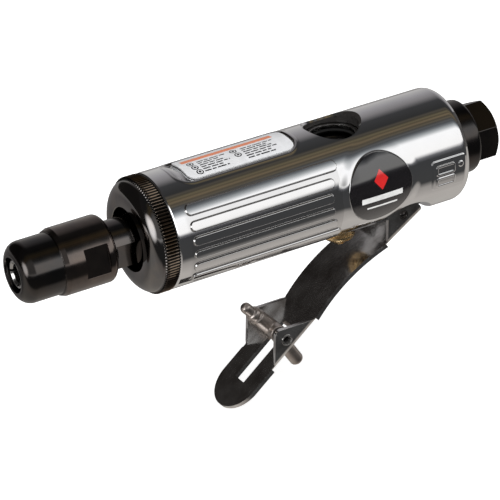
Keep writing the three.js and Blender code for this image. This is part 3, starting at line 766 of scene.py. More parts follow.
def side_bore(name, axis, at, radius, inner, chamfer, outwards, steps=160):
    """A cutter for a round bore that leaves the barrel at a right angle, with a chamfer that
    follows the curved edge. axis is z for the top bore and y for the lever's side pockets."""
    levels = []
    for k in range(steps):
        a = 2 * math.pi * k / steps
        across = at[1] + radius * math.sin(a)
        surface = math.sqrt(max(BARREL ** 2 - across ** 2, (inner + 0.6) ** 2))
        levels.append((a, surface))
    rings = []
    for grow, shift in ((0, None), (0, -chamfer), (chamfer + 1.2, 1.2), (chamfer + 1.2, 40.0)):
        ring = []
        for a, surface in levels:
            depth = inner if shift is None else (45.0 if shift == 40.0 else surface + shift)
            u = at[0] + (radius + grow) * math.cos(a)
            v = at[1] + (radius + grow) * math.sin(a)
            ring.append((u, v, depth) if axis == "z" else (u, outwards * depth, v))
        rings.append(ring)
    points = [p for ring in rings for p in ring]
    faces = [tuple(range(steps)), tuple(range(3 * steps, 4 * steps))]
    for i in range(3):
        for k in range(steps):
            j = (k + 1) % steps
            faces.append((i * steps + k, i * steps + j, (i + 1) * steps + j, (i + 1) * steps + k))
    return solid(name, points, faces)


def barrel_cutters():
    """The motor bore, the inlet bore, the stepped regulator bore with its ring groove, the valve's
    bores, and the pockets, relief and pin hole for the lever."""
    bore_wall = [(7, 0), (7, TOP_BORE - 0.4), (7.4, TOP_BORE), (13.4, TOP_BORE), (13.4, 9.7),
                 (14.8, 9.7), (14.8, TOP_BORE), (15.2, TOP_BORE), (15.3, TOP_BORE - 0.12),
                 (15.6, TOP_BORE - 0.12), (15.7, TOP_BORE), (17, TOP_BORE), (17, 0)]
    valve = (VALVE_X, 0, 0)
    pocket_at, pocket_radius = (EAR_POCKET["x"], EAR_POCKET["z"]), EAR_POCKET["radius"]
    pocket_floor = EAR_POCKET["inner"]
    relief_outline = [(136, -25), (146.5, -25), (146.5, -12.6), (136, -19.1)]
    return [
        bar("motor_bore", BARREL_FRONT - 2, 104, 17),
        bar("inlet_bore", 149.5, BARREL_REAR + 2, 10),
        turned("top_bore_wall", bore_wall, "z", valve, 160),
        side_bore("top_bore_edge", "z", (VALVE_X, 0), TOP_BORE, 15.4, 0.9, 1),
        bar("valve_chamber", -9.7, 7.5, 6.5, "z", valve, 48),
        bar("valve_hole", -25, -9.5, 5.7, "z", valve, 64),
        side_bore("near_pocket", "y", pocket_at, pocket_radius, pocket_floor, 0.35, -1),
        side_bore("far_pocket", "y", pocket_at, pocket_radius, pocket_floor, 0.35, 1),
        prism("lug_relief", relief_outline, -8.3, 8.3),
        bar("pivot_hole", -20, 20, 1.8, "y", (PIVOT[0], 0, PIVOT[2]), 48),
    ]


def exact_normals(piece):
    """Shades the barrel's outside by its true surface, so that cuts leave no marks on the polish."""
    mesh = piece.data
    count = len(mesh.vertices)
    places = np.empty(count * 3)
    mesh.vertices.foreach_get("co", places)
    places = (places.reshape(-1, 3) - ORIGIN) / MM
    x, y, z = places.T
    angle = np.arctan2(z, -y)
    radius = np.hypot(y, z)
    wanted = BARREL + relief(x, angle)
    inside = (x > BARREL_FRONT + 0.6) & (x < BARREL_REAR - REAR_CORNER - 0.05)
    on_skin = inside & (np.abs(radius - wanted) < 0.012)
    step = 0.03
    along = surface_point(x + step, BARREL, angle) - surface_point(x - step, BARREL, angle)
    turn = step / BARREL
    around = surface_point(x, BARREL, angle + turn) - surface_point(x, BARREL, angle - turn)
    true_normals = np.cross(around, along)
    true_normals /= np.linalg.norm(true_normals, axis=1)[:, None]
    outwards = np.stack([0 * x, -np.cos(angle), np.sin(angle)], axis=1)
    true_normals *= np.sign(np.sum(true_normals * outwards, axis=1))[:, None]
    shade(piece, 40)
    loops = np.empty(len(mesh.loops), int)
    mesh.loops.foreach_get("vertex_index", loops)
    face_normals = np.empty(len(mesh.polygons) * 3)
    mesh.polygons.foreach_get("normal", face_normals)
    totals = np.empty(len(mesh.polygons), int)
    mesh.polygons.foreach_get("loop_total", totals)
    per_loop = np.repeat(face_normals.reshape(-1, 3), totals, axis=0)
    wanted_normals = true_normals[loops]
    agree = np.sum(per_loop * wanted_normals, axis=1) > 0.75
    use = on_skin[loops] & agree
    mesh.normals_split_custom_set(np.where(use[:, None], wanted_normals, 0.0).tolist())
    store_crease_shade(mesh, on_skin, x, angle)


def store_crease_shade(mesh, on_skin, x, angle):
    """Marks where painted shade darkens the barrel: steep flanks fully, and the floors between ribs a
    little.
    """
    step = 0.05
    across = relief(x, angle + step / BARREL) - relief(x, angle - step / BARREL)
    along = relief(x + step, angle) - relief(x - step, angle)
    steep = np.hypot(across, along) / (2 * step)
    ribbed = (x > RIB["front"] - 0.5) & (x < 108) & (np.abs(np.sin(angle)) * BARREL < 13.2)
    valley = ribbed & (relief(x, angle) < 0.15)
    foot = 1 - 0.75 * smooth((relief(x, angle) - 0.12) / 0.3)
    # painted shade: strongest at the foot of each steep flank, and faint on the valley floors
    crease_shade = np.clip(smooth((steep - 0.35) / 1.3) * 0.8 * foot + 0.14 * valley, 0, 1) * on_skin
    layer = mesh.attributes.new(CREASE_SHADE, "FLOAT", "POINT")
    layer.data.foreach_set("value", crease_shade.astype(np.float32))


# the faces inside the regulator's bore, which are painted dark as shade
def in_top_bore(x, y, z):
    deep = z > 5 and math.hypot(y, z) < BARREL - 0.25
    return deep and (math.hypot(x - VALVE_X, y) < TOP_BORE + 0.05 or z < 15)


def build_barrel():
    """The polished housing. The regulator's bore wall is painted dull and dark as shade."""
    housing = cut(barrel_skin(), barrel_cutters())
    fit(housing, ALUMINIUM, "housing", ["motor_housing"], 40)
    exact_normals(housing)
    # painted shade: the bore's inside takes the dark matt material
    paint(housing, BORE_SHADE, in_top_bore)


# ---- label and badge -----------------------------------------------------------------------------
def rounded_outline(x0, x1, y0, y1, corner, steps=8):
    points = []
    centres = ((x1 - corner, y1 - corner, 0), (x0 + corner, y1 - corner, 90),
               (x0 + corner, y0 + corner, 180), (x1 - corner, y0 + corner, 270))
    for cx, cy, start in centres:
        points += arc(cx, cy, corner, start, start + 90, steps)
    return points


def build_label():
    """The label film, a rounded rectangle that follows the barrel's curve."""
    low, high = LABEL_LOW, LABEL_HIGH
    outline = rounded_outline(FILM_FRONT, high[0], low[1], high[1], FILM_CORNER)
    plate = prism("label_plate_film", outline, 10, 25, axis="z")
    floor = BARREL - 0.6
    wall = [(40, floor), (40, LABEL_TOP), (110, LABEL_TOP), (110, floor)]
    combine(plate, [turned("label_shell", wall, steps=360)], "INTERSECT")
    soften(plate, 0.08, 1, 60)
    fit(plate, LABEL_FILM, "housing", ["label_plate"], 25)
    label_print()


def curved_patch(x0, x1, y0, y1, radius, thick=0.02, across=8):
    """A thin rectangle lying on the top of the barrel: its points and faces."""
    points = []
    for r in (radius - 0.05, radius + thick):
        for x in (x0, x1):
            for y in np.linspace(y0, y1, across + 1):
                points.append((x, y, math.sqrt(r * r - y * y)))
    n = across + 1
    faces = []
    for k in range(across):
        faces.append((k, k + 1, n + k + 1, n + k))
        faces.append((2 * n + k, 3 * n + k, 3 * n + k + 1, 2 * n + k + 1))
        faces.append((k, 2 * n + k, 2 * n + k + 1, k + 1))
        faces.append((n + k, n + k + 1, 3 * n + k + 1, 3 * n + k))
    faces.append((0, n, 3 * n, 2 * n))
    faces.append((across, 2 * n + across, 3 * n + across, n + across))
    return points, faces


def curved_dot(cx, cy, r, radius, thick=0.02, steps=24):
    """A thin round patch lying on the top of the barrel: its points and faces."""
    points = []
    for level in (radius - 0.05, radius + thick):
        for k in range(steps):
            a = 2 * math.pi * k / steps + math.pi / 2
            y = cy + r * math.sin(a)
            points.append((cx + r * math.cos(a), y, math.sqrt(level ** 2 - y * y)))
    return points, capped_band(steps)


def gathered(name, patches):
    """One object made of many patches."""
    points, faces = [], []
    for patch_points, patch_faces in patches:
        base = len(points)
        points += patch_points
        faces += [tuple(base + i for i in face) for face in patch_faces]
    return solid(name, points, faces)


def label_print():
    """Plain printing: one colour bar, rows of short dashes and round marks, no lettering."""
    orange = gathered("label_print_bar", [curved_patch(62.3, 95, 1.6, 3.9, LABEL_TOP)])
    fit(orange, LABEL_ORANGE, "housing")
    ink, pale = [], []
    words = (2.3, 1.4, 3.1, 1.8, 2.6)
    for start, end, rows in ((66.6, 76.8, 6), (82.3, 93.8, 6)):
        for row in range(rows):
            y = 0.15 - 1.15 * row
            x = start
            stop = end - 1.3 * ((row * 2) % 3)
            turn = row
            while x < stop:
                length = min(words[turn % len(words)], stop - x)
                ink.append(curved_patch(x, x + length, y - 0.4, y + 0.1, LABEL_TOP))
                x += length + 0.45
                turn += 1
    for cx, cy in ((64.2, -0.2), (64.6, -2.8), (65.0, -5.4), (79.7, -0.2), (80.1, -2.9)):
        ink.append(curved_dot(cx, cy, 1.2, LABEL_TOP))
        pale.append(curved_dot(cx, cy, 0.8, LABEL_TOP, 0.04))
        ink.append(curved_dot(cx, cy, 0.45, LABEL_TOP, 0.06))
    fit(gathered("label_print_marks", ink), LABEL_INK, "housing")
    fit(gathered("label_print_pale", pale), LABEL_FILM, "housing")


BADGE_EDGE = BARREL + 0.68
BADGE_DOME = 0.6
BADGE_STEPS = 144


def badge_place(u, t, lift=0.0):
    """A point of the badge's face: u along the barrel and t across it, both from its centre."""
    share = min(math.hypot(u, t) / BADGE_RADIUS, 1.0)
    radius = BADGE_EDGE + BADGE_DOME * (1 - share ** 2.4) + lift
    angle = BADGE_TILT + math.asin(t / radius)
    return (BADGE_X + u, -radius * math.cos(angle), radius * math.sin(angle))


def badge_ring(share, lift=0.0):
    """A ring of points on the badge, share of its radius out from its centre."""
    ring = []
    for k in range(BADGE_STEPS):
        a = 2 * math.pi * k / BADGE_STEPS
        u, t = BADGE_RADIUS * share * math.cos(a), BADGE_RADIUS * share * math.sin(a)
        ring.append(badge_place(u, t, lift))
    return ring


def build_badge():
    """A domed disc that follows the barrel, with a bright rim line and a plain generic mark."""
    steps = BADGE_STEPS
    rings = [badge_ring(math.sin(math.pi / 2 * k / 28)) for k in range(1, 29)]
    rings += [badge_ring(1.0, -0.12), badge_ring(1.012, -0.3), badge_ring(1.012, -1.0)]
    points = [badge_place(0, 0)]
    for ring in rings:
        points += ring
    points.append(badge_place(0, 0, -1.4))
    faces = [(0, 1 + k, 1 + (k + 1) % steps) for k in range(steps)]
    for i in range(len(rings) - 1):
        faces += band(1 + i * steps, 1 + (i + 1) * steps, steps)
    last, final = 1 + (len(rings) - 1) * steps, len(points) - 1
    faces += [(last + k, final, last + (k + 1) % steps) for k in range(steps)]
    disc = solid("badge_dome", points, faces)
    fit(disc, BADGE_BLACK, "housing", ["badge_disc"], 50)
    badge_rim()
    badge_mark("badge_lozenge", lozenge(0, 3.4, 2.6, 3.4), BADGE_RED)
    badge_mark("badge_bars", bars(), BADGE_WHITE)


def badge_rim():
    """The bright line round the badge."""
    profile = ((1.012, -0.9), (1.012, -0.28), (1.022, -0.2), (1.034, -0.28), (1.038, -0.9))
    points, faces = [], []
    for i, (share, lift) in enumerate(profile):
        points += badge_ring(share, lift)
        faces += band(i * BADGE_STEPS, ((i + 1) % len(profile)) * BADGE_STEPS, BADGE_STEPS)
    rim = solid("badge_rim", points, faces)
    fit(rim, CHROME, "housing", angle=60)


def lozenge(u, t, half_width, half_height, steps=6):
    """A filled lozenge as a grid of (u, t) cells."""
    cells = []
    for i in range(steps):
        low, high = i / steps, (i + 1) / steps
        for side in (-1, 1):
            a, b = half_width * (1 - low), half_width * (1 - high)
            inner, outer = t + side * half_height * low, t + side * half_height * high
            cells.append([(u - a, inner), (u + a, inner), (u + b, outer), (u - b, outer)])
    return cells


def bars():
    """Two plain bars under the lozenge."""
    cells = []
    for t, half_width, half_height in ((-2.6, 7.6, 0.95), (-5.6, 5.6, 0.3)):
        for low in np.linspace(-half_width, half_width, 17)[:-1]:
            high = low + half_width / 8
            under, over = t - half_height, t + half_height
            cells.append([(low, under), (high, under), (high, over), (low, over)])
    return cells


def badge_mark(name, cells, material):
    """A thin print on the badge's face, made of (u, t) cells."""
    points, faces = [], []
    for cell in cells:
        corners = list(dict.fromkeys((round(u, 5), round(t, 5)) for u, t in cell))
        base, n = len(points), len(corners)
        points += [badge_place(u, t, -0.05) for u, t in corners]
        points += [badge_place(u, t, 0.035) for u, t in corners]
        faces.append(tuple(range(base, base + n)))
        faces.append(tuple(range(base + 2 * n - 1, base + n - 1, -1)))
        faces += band(base, base + n, n)
    piece = solid(name, points, faces)
    fit(piece, material, "housing", angle=60)


# ---- front end -----------------------------------------------------------------------------------
KNURL_TEETH = 108


def build_cap():
    """The clamp cap: flat face, big rolled shoulder and a straight-knurled ring."""
    face = tool_box("clamp_cap")[0][0]
    ring = face + 4.1
    end = BARREL_FRONT - 0.12
    shoulder = arc(face + 6.7, 12.55, 6.7, 178, 122, 16)
    front = [(face + 4.9, 10.6, 0), (face, 10.6, 0.35), (face, 12.5, 0), (face, 12.55, 0)]
    profile = rounded(front, 3)[:-1] + shoulder
    edge = shoulder[-1]
    knurl = [(ring - 0.15, edge[1] + 0.1), (ring, BARREL - 0.5), (ring + 0.12, BARREL - 0.25),
             (ring + 0.4, BARREL + 0.1)]
    knurl += [(ring + 0.4 + k * 0.9, BARREL + 0.1) for k in range(1, 4)]
    knurl += [(end - 0.45, BARREL + 0.1), (end - 0.15, BARREL - 0.2), (end - 0.1, BARREL - 0.5),
              (end, BARREL - 0.6)]
    spigot = [(end, 16.6), (57.9, 16.6), (57.9, 15.3), (52.2, 15.3), (52.2, 11.3), (44.9, 11.3)]
    start, stop = ring - 0.05, end - 0.12

    def teeth(s, a):
        if s < start or s > stop:
            return 0.0
        wave = abs(((a * KNURL_TEETH / (2 * math.pi)) % 1) * 2 - 1)
        return -0.5 * smooth(np.array(1.3 * wave - 0.15)).item()

    outline = profile + knurl + spigot
    cap = turned("clamp_cap_knurled", outline, steps=KNURL_TEETH * 6, ripple=teeth)
    fit(cap, OXIDE_CAP, "housing", ["clamp_cap"], 38)


NUT_FLAT_ANGLE = 6.6
SHOULDER_FLAT_ANGLE = -21


def build_nut():
    """Collet nut: thimble nose, bevelled step, thicker rear with two wrench recesses."""
    end = tool_box("collet_nut")[1][0]
    profile = rounded([
        (9, 0, 0), (9, 5.9, 0), (0.9, 5.9, 0.0), (0, 6.5, 0.2), (0, 10.12, 4.3),
        (13.4, 10.12, 0.08), (13.5, 10.55, 0.12), (15.0, 11.1, 0.5), (end, 11.1, 1.9),
        (end, 8.1, 0.2), (end - 0.6, 7.6, 0), (9.5, 7.6, 0), (9.5, 0, 0)], 8)
    nut = turned("collet_nut_body", profile, steps=144)
    cutters = []
    for side in (0, 1):
        cutter = block("wrench_flat", 20.5, 28.8, -20, -9.9, -5.05, 5.05)
        soften(cutter, 0.3, 3, 40)
        roll(cutter, -(math.radians(NUT_FLAT_ANGLE) + side * math.pi))
        cutters.append(cutter)
    cut(nut, cutters)
    soften(nut, 0.1, 2, 45)
    fit(nut, OXIDE_NUT, "nut", ["collet_nut"], 40, flat=True)


def build_collet_body():
    """Spindle nose: a threaded sleeve in the nut and a shoulder with two wrench flats."""
    low, high = tool_box("collet_body")
    profile = rounded([
        (low[0], 0, 0), (low[0], 7.2, 0.4), (32.3, 7.2, 0), (32.3, 8.0, 0.25), (high[0], 8.0, 0.3),
        (high[0], 4.3, 0), (33, 4.3, 0), (33, 5.2, 0), (low[0] + 0.2, 5.2, 0), (low[0] + 0.2, 0, 0)], 3)
    profile = [p for p in profile if p != (low[0], 0)]
    profile[0] = (low[0], 5.2)
    profile = profile[:-2] + [(low[0] + 0.01, 5.2)]
    body = turned("collet_body_spindle", profile, steps=96)
    cutters = []
    for side in (0, 1):
        cutter = block("spindle_flat", 32.9, 41, -20, -6.2, -10, 10)
        roll(cutter, -(math.radians(SHOULDER_FLAT_ANGLE) + side * math.pi))
        cutters.append(cutter)
    cut(body, cutters)
    soften(body, 0.12, 2, 45)
    fit(body, OXIDE_SPINDLE, "spindle", ["collet_body"], 40, flat=True)


def build_collet():
    """Split collet: chamfered silver jaws round a plain bore."""
    low, high = tool_box("collet")
    start, end = low[0], high[0]
    profile = rounded([
        (start + 0.7, 3.25, 0), (start, 3.9, 0.15), (start, 4.5, 0.1), (start + 0.6, 4.9, 0.1),
        (end, 4.9, 0.2), (end, 3.25, 0)], 3)
    body = turned("collet_jaws", profile, steps=96)
    slits = []
    for k in range(4):
        slit = block("slit", -1, start + 15, -8, 0, -0.35, 0.35)
        roll(slit, math.pi / 2 * k)
        slits.append(slit)
    cut(body, slits)
    soften(body, 0.06, 1, 45)
    fit(body, STEEL, "spindle", ["collet"], 30)


# ---- hose inlet ----------------------------------------------------------------------------------
def build_inlet():
    """Inlet bushing: round collar, chamfered hexagon and a threaded bore."""
    low, high = tool_box("inlet_bushing")
    collar_end, end = BARREL_REAR + 8.2, high[0]
    across, corner = 9.45, 9.45 / math.cos(math.pi / 6)
    seat = BARREL_REAR - 0.1
    collar = turned("inlet_bushing_hex", rounded([
        (low[0], 0, 0), (low[0], 9.7, 0.3), (seat, 9.7, 0), (seat, 12.4, 0.15),
        (collar_end, 12.4, 1.7), (collar_end, 0, 0)], 8), steps=128)
    outline = []
    for k in range(6):
        a = math.radians(24.2 + 60 * k)
        outline.append((-corner * math.cos(a), corner * math.sin(a)))
    points = [(x, y, z) for x in (collar_end - 2, end + 1) for y, z in outline]
    hexagon = solid("hexagon", points, capped_band(6))
    soften(hexagon, 0.25, 3, 40)
    chamfer = turned("hex_chamfer", [
        (collar_end - 3, 0), (collar_end - 3, corner + 2), (end - 1.75, corner + 2 - 1.2),
        (end - 1.3, corner + 0.15), (end, across - 0.15), (end, 0)], steps=128)
    combine(hexagon, [chamfer], "INTERSECT")
    join(collar, [hexagon])
    thread = [(end + 1, 0), (end + 1, 6.9), (end, 6.9), (end - 0.9, 6.0)]
    x = end - 0.9
    while x > low[0] + 4:
        thread += [(x - 0.35, 6.25), (x - 0.94, 5.7)]
        x -= 0.94
    thread += [(low[0] + 3.5, 5.7), (low[0] + 3.5, 3.6), (low[0] - 1, 3.6), (low[0] - 1, 0)]
    cut(collar, [turned("inlet_thread", thread, steps=96)])
    fit(collar, OXIDE, "housing", ["inlet_bushing"], 35, flat=True)


# ---- valve and regulator -------------------------------------------------------------------------
def build_valve():
    """The brass bushing screwed into the barrel's underside and the plunger in it."""
    low, high = tool_box("valve_bushing")
    bottom, top = low[2], high[2]
    valve = (VALVE_X, 0, 0)
    bushing = turned("valve_bushing_brass", rounded([
        (bottom, 3.4, 0), (bottom, 4.9, 0.3), (bottom + 0.9, 5.4, 0.2), (bottom + 1.7, 5.4, 0.1),
        (bottom + 1.9, 5.0, 0.1), (bottom + 2.3, 5.0, 0.1), (bottom + 2.5, 5.4, 0.1), (top, 5.4, 0.2),
        (top, 3.4, 0)], 3), "z", valve, 72)
    fit(bushing, BRASS, "housing", ["valve_bushing"])
    low, high = tool_box("valve_plunger")
    plunger = turned("valve_plunger_brass", rounded([
        (low[2], 0, 0), (low[2] + 0.15, 1.6, 1.5), (low[2] + 2.2, 3.0, 0.8), (-16.2, 3.0, 0.05),
        (-16.2, 2.0, 0), (-14.6, 2.0, 0), (-14.6, 3.0, 0.05), (high[2], 3.0, 0.2),
        (high[2], 0, 0)], 5), "z", valve, 64)
    fit(plunger, BRASS, "plunger", ["valve_plunger"])


def build_regulator():
    """Regulator plug with a screwdriver slot, and the split ring that keeps it in."""
    low, high = tool_box("regulator_plug")
    valve = (VALVE_X, 0, 0)
    plug = turned("regulator_plug_slotted", rounded([
        (low[2], 0, 0), (low[2], 8.7, 0.3), (high[2], 8.7, 0.5), (high[2], 5.2, 0.2),
        (high[2] - 0.35, 4.9, 0.1), (high[2] - 0.35, 0, 0)], 4), "z", valve, 96)
    cut(plug, [block("slot", VALVE_X - 10, VALVE_X + 10, -1, 1, high[2] - 1.5, high[2] + 2)])
    soften(plug, 0.1, 2, 50)
    fit(plug, OXIDE, "regulator", ["regulator_plug"])
    low, high = tool_box("retaining_ring")
    section = rounded([(low[2], 7.6, 0), (low[2], 9.3, 0.1), (high[2], 9.3, 0.1),
                       (high[2], 7.6, 0.1), (low[2], 7.6, 0)], 2)[:-1]
    ring = turned("retaining_ring_split", section, "z", valve, 96)
    cut(ring, [block("gap", VALVE_X - 15, VALVE_X, -2.4, 2.4, low[2] - 1, high[2] + 1)])
    ears = []
    for side in (-1, 1):
        at = (VALVE_X - 7.4, side * 3.2, 0)
        ear = bar("ear", low[2] + 0.02, high[2] - 0.02, 1.35, "z", at, 24)
        cut(ear, [bar("ear_hole", low[2] - 1, high[2] + 1, 0.55, "z", at, 16)])
        ears.append(ear)
    join(ring, ears)
    soften(ring, 0.06, 1, 50)
    fit(ring, STEEL, "housing", ["retaining_ring"])


# ---- lever ---------------------------------------------------------------------------------------
LEVER_HALF = 10.0
SHEET = 1.45
HEEL = np.array([142.0, -17.9])
NECK = np.array([128.4, -26.3])
BEND = np.array([101.1, -43.9])
TIP = np.array([67.6, -69.5])


def lever_underside():
    """(x, z) points from the heel to the tip along the outside of the sheet."""
    a, b = np.array([118.5, -29.6]), np.array([109.0, -34.9])
    curve = []
    for t in np.linspace(0, 1, 25):
        s = 1 - t
        curve.append(s ** 3 * NECK + 3 * s * s * t * a + 3 * s * t * t * b + t ** 3 * BEND)
    return [HEEL] + curve + [TIP]


def offset_path(path, distance):
    """The path moved sideways, towards the barrel."""
    path = np.asarray(path, float)
    tangent = np.gradient(path, axis=0)
    tangent /= np.linalg.norm(tangent, axis=1)[:, None]
    return path + distance * np.stack([tangent[:, 1], -tangent[:, 0]], axis=1)


def curve(start, control, end, steps=6):
    start, control, end = map(np.array, (start, control, end))
    ts = np.linspace(0, 1, steps + 1)
    return [tuple((1 - t) ** 2 * start + 2 * t * (1 - t) * control + t * t * end) for t in ts]


def rear_ear():
    front_corner = curve((129.5, -14.6), (129.7, -12.9), (131.4, -12.9))
    rear_corner = curve((137.6, -12.9), (141.8, -13.3), (142.3, -17.0))
    return ([(128.4, -26.3), (129.4, -15.6)] + front_corner + [(137.4, -12.9)] + rear_corner
            + [(142.0, -17.9)])


def front_ear():
    corner = curve((86.4, -43.5), (84.5, -43.5), (84.4, -45.6))
    return [(101.0, -44.05), (100.1, -43.5), (86.6, -43.5)] + corner + [(83.1, -57.55)]


def round_tab_cutter():
    """Everything outside the lever's half-round end, cut square to the tab."""
    slope = math.atan2(BEND[1] - TIP[1], BEND[0] - TIP[0])
    outline = [(-6, -14), (10, -14), (10, -10)]
    outline += [(10 - 10 * math.sin(a), -10 * math.cos(a)) for a in np.linspace(0, math.pi, 40)]
    outline += [(10, 14), (-6, 14)]
    cutter = prism("tab_end", outline, -6, 6, axis="z")
    move(cutter, Matrix.Rotation(-slope, 4, "Y"), (TIP[0], 0, TIP[1]))
    return cutter


def build_lever():
    """Pressed sheet: a curved strip with two pairs of ears folded up from its sides."""
    under = lever_underside()
    inside = offset_path(under, SHEET)
    web = [tuple(p) for p in under] + [tuple(p) for p in inside[::-1]]
    lever = prism("throttle_lever_sheet", web, -LEVER_HALF, LEVER_HALF)
    ears = []
    for outline in (rear_ear(), front_ear()):
        for low, high in ((-LEVER_HALF, -LEVER_HALF + SHEET), (LEVER_HALF - SHEET, LEVER_HALF)):
            ears.append(prism("ear", outline, low, high))
    join(lever, ears)
    round_bends(lever)
    cut(lever, [
        round_tab_cutter(),
        block("tab_slot", 75, 94.4, -2.7, 2.7, -74, -40),
    ])
    merge_flat_faces(lever)
    soften(lever, 0.22, 2, 50)
    cut(lever, [
        bar("pivot_eye", -15, 15, 1.55, "y", (PIVOT[0], 0, PIVOT[2]), 40),
        bar("latch_eye", -15, 15, 1.55, "y", (LATCH[0], 0, LATCH[2]), 40),
    ])
    fit(lever, LEVER_CHROME, "lever", ["throttle_lever"], 60, flat=True)


def round_bends(lever, radius=2.6):
    """Rolls the outside corner where each ear folds up from the strip."""
    spans = ((TIP, BEND, 83.0, 100.6), (NECK, HEEL, 128.6, 143.5))
    cutters = []
    for low, high, start, end in spans:
        steep = (high[1] - low[1]) / (high[0] - low[0])
        a, b = (np.array([x, low[1] + (x - low[0]) * steep]) for x in (start, end))
        along = (b - a) / np.linalg.norm(b - a)
        up = np.array([-along[1], along[0]])
        for side in (-1, 1):
            inner = LEVER_HALF - radius
            corner = [(LEVER_HALF + 1, -1.0), (LEVER_HALF + 1, radius), (LEVER_HALF + 0.001, radius)]
            for k in range(9):
                t = math.radians(90 * k / 8)
                corner.append((inner + radius * math.cos(t), radius - radius * math.sin(t)))
            corner.append((inner, -1.0))
            points = []
            for end_point in (a, b):
                for y, h in corner:
                    flat = end_point + up * h
                    points.append((flat[0], side * y, flat[1]))
            cutters.append(solid("bend", points, capped_band(len(corner))))
    cut(lever, cutters)


def build_pins():
    """The lever's solid pivot pin, with coned ends, and the latch's rolled hollow pin."""
    half = LEVER_HALF
    pivot = turned("lever_pivot_pin_turned", rounded([
        (-half - 0.25, 0, 0), (-half - 0.2, 0.5, 0), (-half + 0.1, 0.9, 0.1), (-half - 0.3, 1.1, 0.1),
        (-half + 0.2, 1.5, 0.2), (half - 0.2, 1.5, 0.2), (half + 0.3, 1.1, 0.1), (half - 0.1, 0.9, 0.1),
        (half + 0.2, 0.5, 0), (half + 0.25, 0, 0)], 3), "y", (PIVOT[0], 0, PIVOT[2]), 40)
    fit(pivot, OXIDE, "housing", ["lever_pivot_pin"])
    flare = [(half + 0.02, 1.5, 0), (half + 0.04, 1.95, 0.05), (half + 0.2, 1.9, 0.08),
             (half + 0.26, 1.5, 0.1), (half - 0.5, 1.05, 0)]
    profile = rounded([(-s, r, f) for s, r, f in reversed(flare)] + flare, 3)
    pin = turned("latch_pin_rolled", profile, "y", (LATCH[0], 0, LATCH[2]), 40)
    cut(pin, [block("pin_seam", LATCH[0], LATCH[0] + 3, -20, 20, LATCH[2] - 0.12, LATCH[2] + 0.12)])
    fit(pin, STEEL, "lever", ["latch_pin"])
    # painted shade: the pin's bore takes the dark matt material
    paint(pin, BORE_SHADE, in_pin_bore)


def in_pin_bore(x, y, z):
    """The inside of the rolled pin, which is painted dark as shade."""
    return math.hypot(x - LATCH[0], z - LATCH[2]) < 1.42 and abs(y) < LEVER_HALF + 0.02


# ---- latch ---------------------------------------------------------------------------------------
def leaning_bar(name, start, end, profile, steps=48):
    """A turned body whose axis runs from start to end in the y = 0 plane; stations are lengths."""
    piece = turned(name, profile, "z", steps=steps)
    direction = Vector((end[0] - start[0], 0, end[1] - start[1])).normalized()
    turn = Vector((0, 0, 1)).rotation_difference(direction).to_matrix().to_4x4()
    move(piece, turn, (start[0], 0, start[1]))
    return piece


def build_latch():
    """Two-armed latch: a stepped round prong, a fat hub on the pin and a plain round tail."""
    hub = (LATCH[0], LATCH[2])
    prong_tip, tail_tip = (79.7, -37.3), (96.1, -60.7)
    prong_length = math.hypot(prong_tip[0] - hub[0], prong_tip[1] - hub[1])
    tail_length = math.hypot(tail_tip[0] - hub[0], tail_tip[1] - hub[1])
    latch = turned("lock_latch_forged", rounded([
        (-4.8, 0, 0), (-4.8, 2.85, 0.35), (6.5, 2.85, 0.35), (6.5, 0, 0)], 4),
        "y", (hub[0], 0, hub[1]), 64)
    groove, neck, nose = prong_length - 5.1, prong_length - 2.4, prong_length + 1.7
    prong = leaning_bar("prong", hub, prong_tip, rounded([
        (0, 0, 0), (0, 2.9, 0), (groove - 0.5, 2.75, 0.4), (groove, 2.35, 0.15),
        (groove + 0.5, 2.35, 0.15), (groove + 1.0, 2.65, 0.2), (neck - 0.5, 2.5, 0.3),
        (neck, 1.9, 0.2), (nose, 1.85, 1.6), (nose + 0.15, 0, 0)], 5))
    tail = leaning_bar("tail", hub, tail_tip, rounded([
        (0, 0, 0), (0, 2.35, 0), (tail_length + 2.3, 2.35, 1.5), (tail_length + 2.35, 0, 0)], 6))
    join(latch, [prong, tail])
    remesh = latch.modifiers.new("blend", "REMESH")
    remesh.mode = "VOXEL"
    remesh.voxel_size = 0.12 * MM
    apply_modifiers(latch)
    settle = latch.modifiers.new("settle", "SMOOTH")
    settle.factor = 0.5
    settle.iterations = 7
    apply_modifiers(latch)
    cut(latch, [bar("latch_bore", -15, 15, 1.6, "y", (hub[0], 0, hub[1]), 40)])
    fit(latch, NICKEL, "latch", ["lock_latch"], 50)


def build_latch_spring():
    """Torsion spring beside the hub, one leg on the strip and one behind the prong."""
    low, high = tool_box("latch_spring")
    wire, mean, turns = 0.34, 2.35, 3.4
    length = high[1] - low[1] - 2 * wire
    path = []
    for t in np.linspace(0, 1, 90):
        a = 2 * math.pi * turns * t + math.radians(200)
        y = high[1] - wire - length * t
        path.append((LATCH[0] + mean * math.cos(a), y, LATCH[2] + mean * math.sin(a)))
    first, last = np.array(path[0]), np.array(path[-1])
    lead = [first + np.array([0.6, 0, -1.0]) * k for k in (1.6, 0.8)]
    trail = [last + np.array([0.5, 0.0, -0.75]) * k for k in (0.8, 1.6, 2.4)]
    spring = swept("latch_spring_coil", lead + path + trail, wire, 10)
    fit(spring, STEEL, "lever", ["latch_spring"], 60)


def build_valve_spring():
    """Compression spring between the stem's head and the bushing's roof."""
    low, high = tool_box("valve_spring")
    wire, turns, closed = 0.3, 6, 0.75
    mean = (high[0] - low[0]) / 2 - wire
    centre = (high[0] + low[0]) / 2
    path = []
    for t in np.linspace(0, 1, 150):
        a = 2 * math.pi * (turns + 2 * closed) * t
        share = np.clip((t * (turns + 2 * closed) - closed) / turns, 0, 1)
        level = low[2] + wire + (high[2] - low[2] - 2 * wire) * share
        path.append((centre + mean * math.cos(a), mean * math.sin(a), level))
    spring = swept("valve_return_spring", path, wire, 8)
    fit(spring, STEEL, "housing", ["valve_spring"], 60)
    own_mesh(spring)


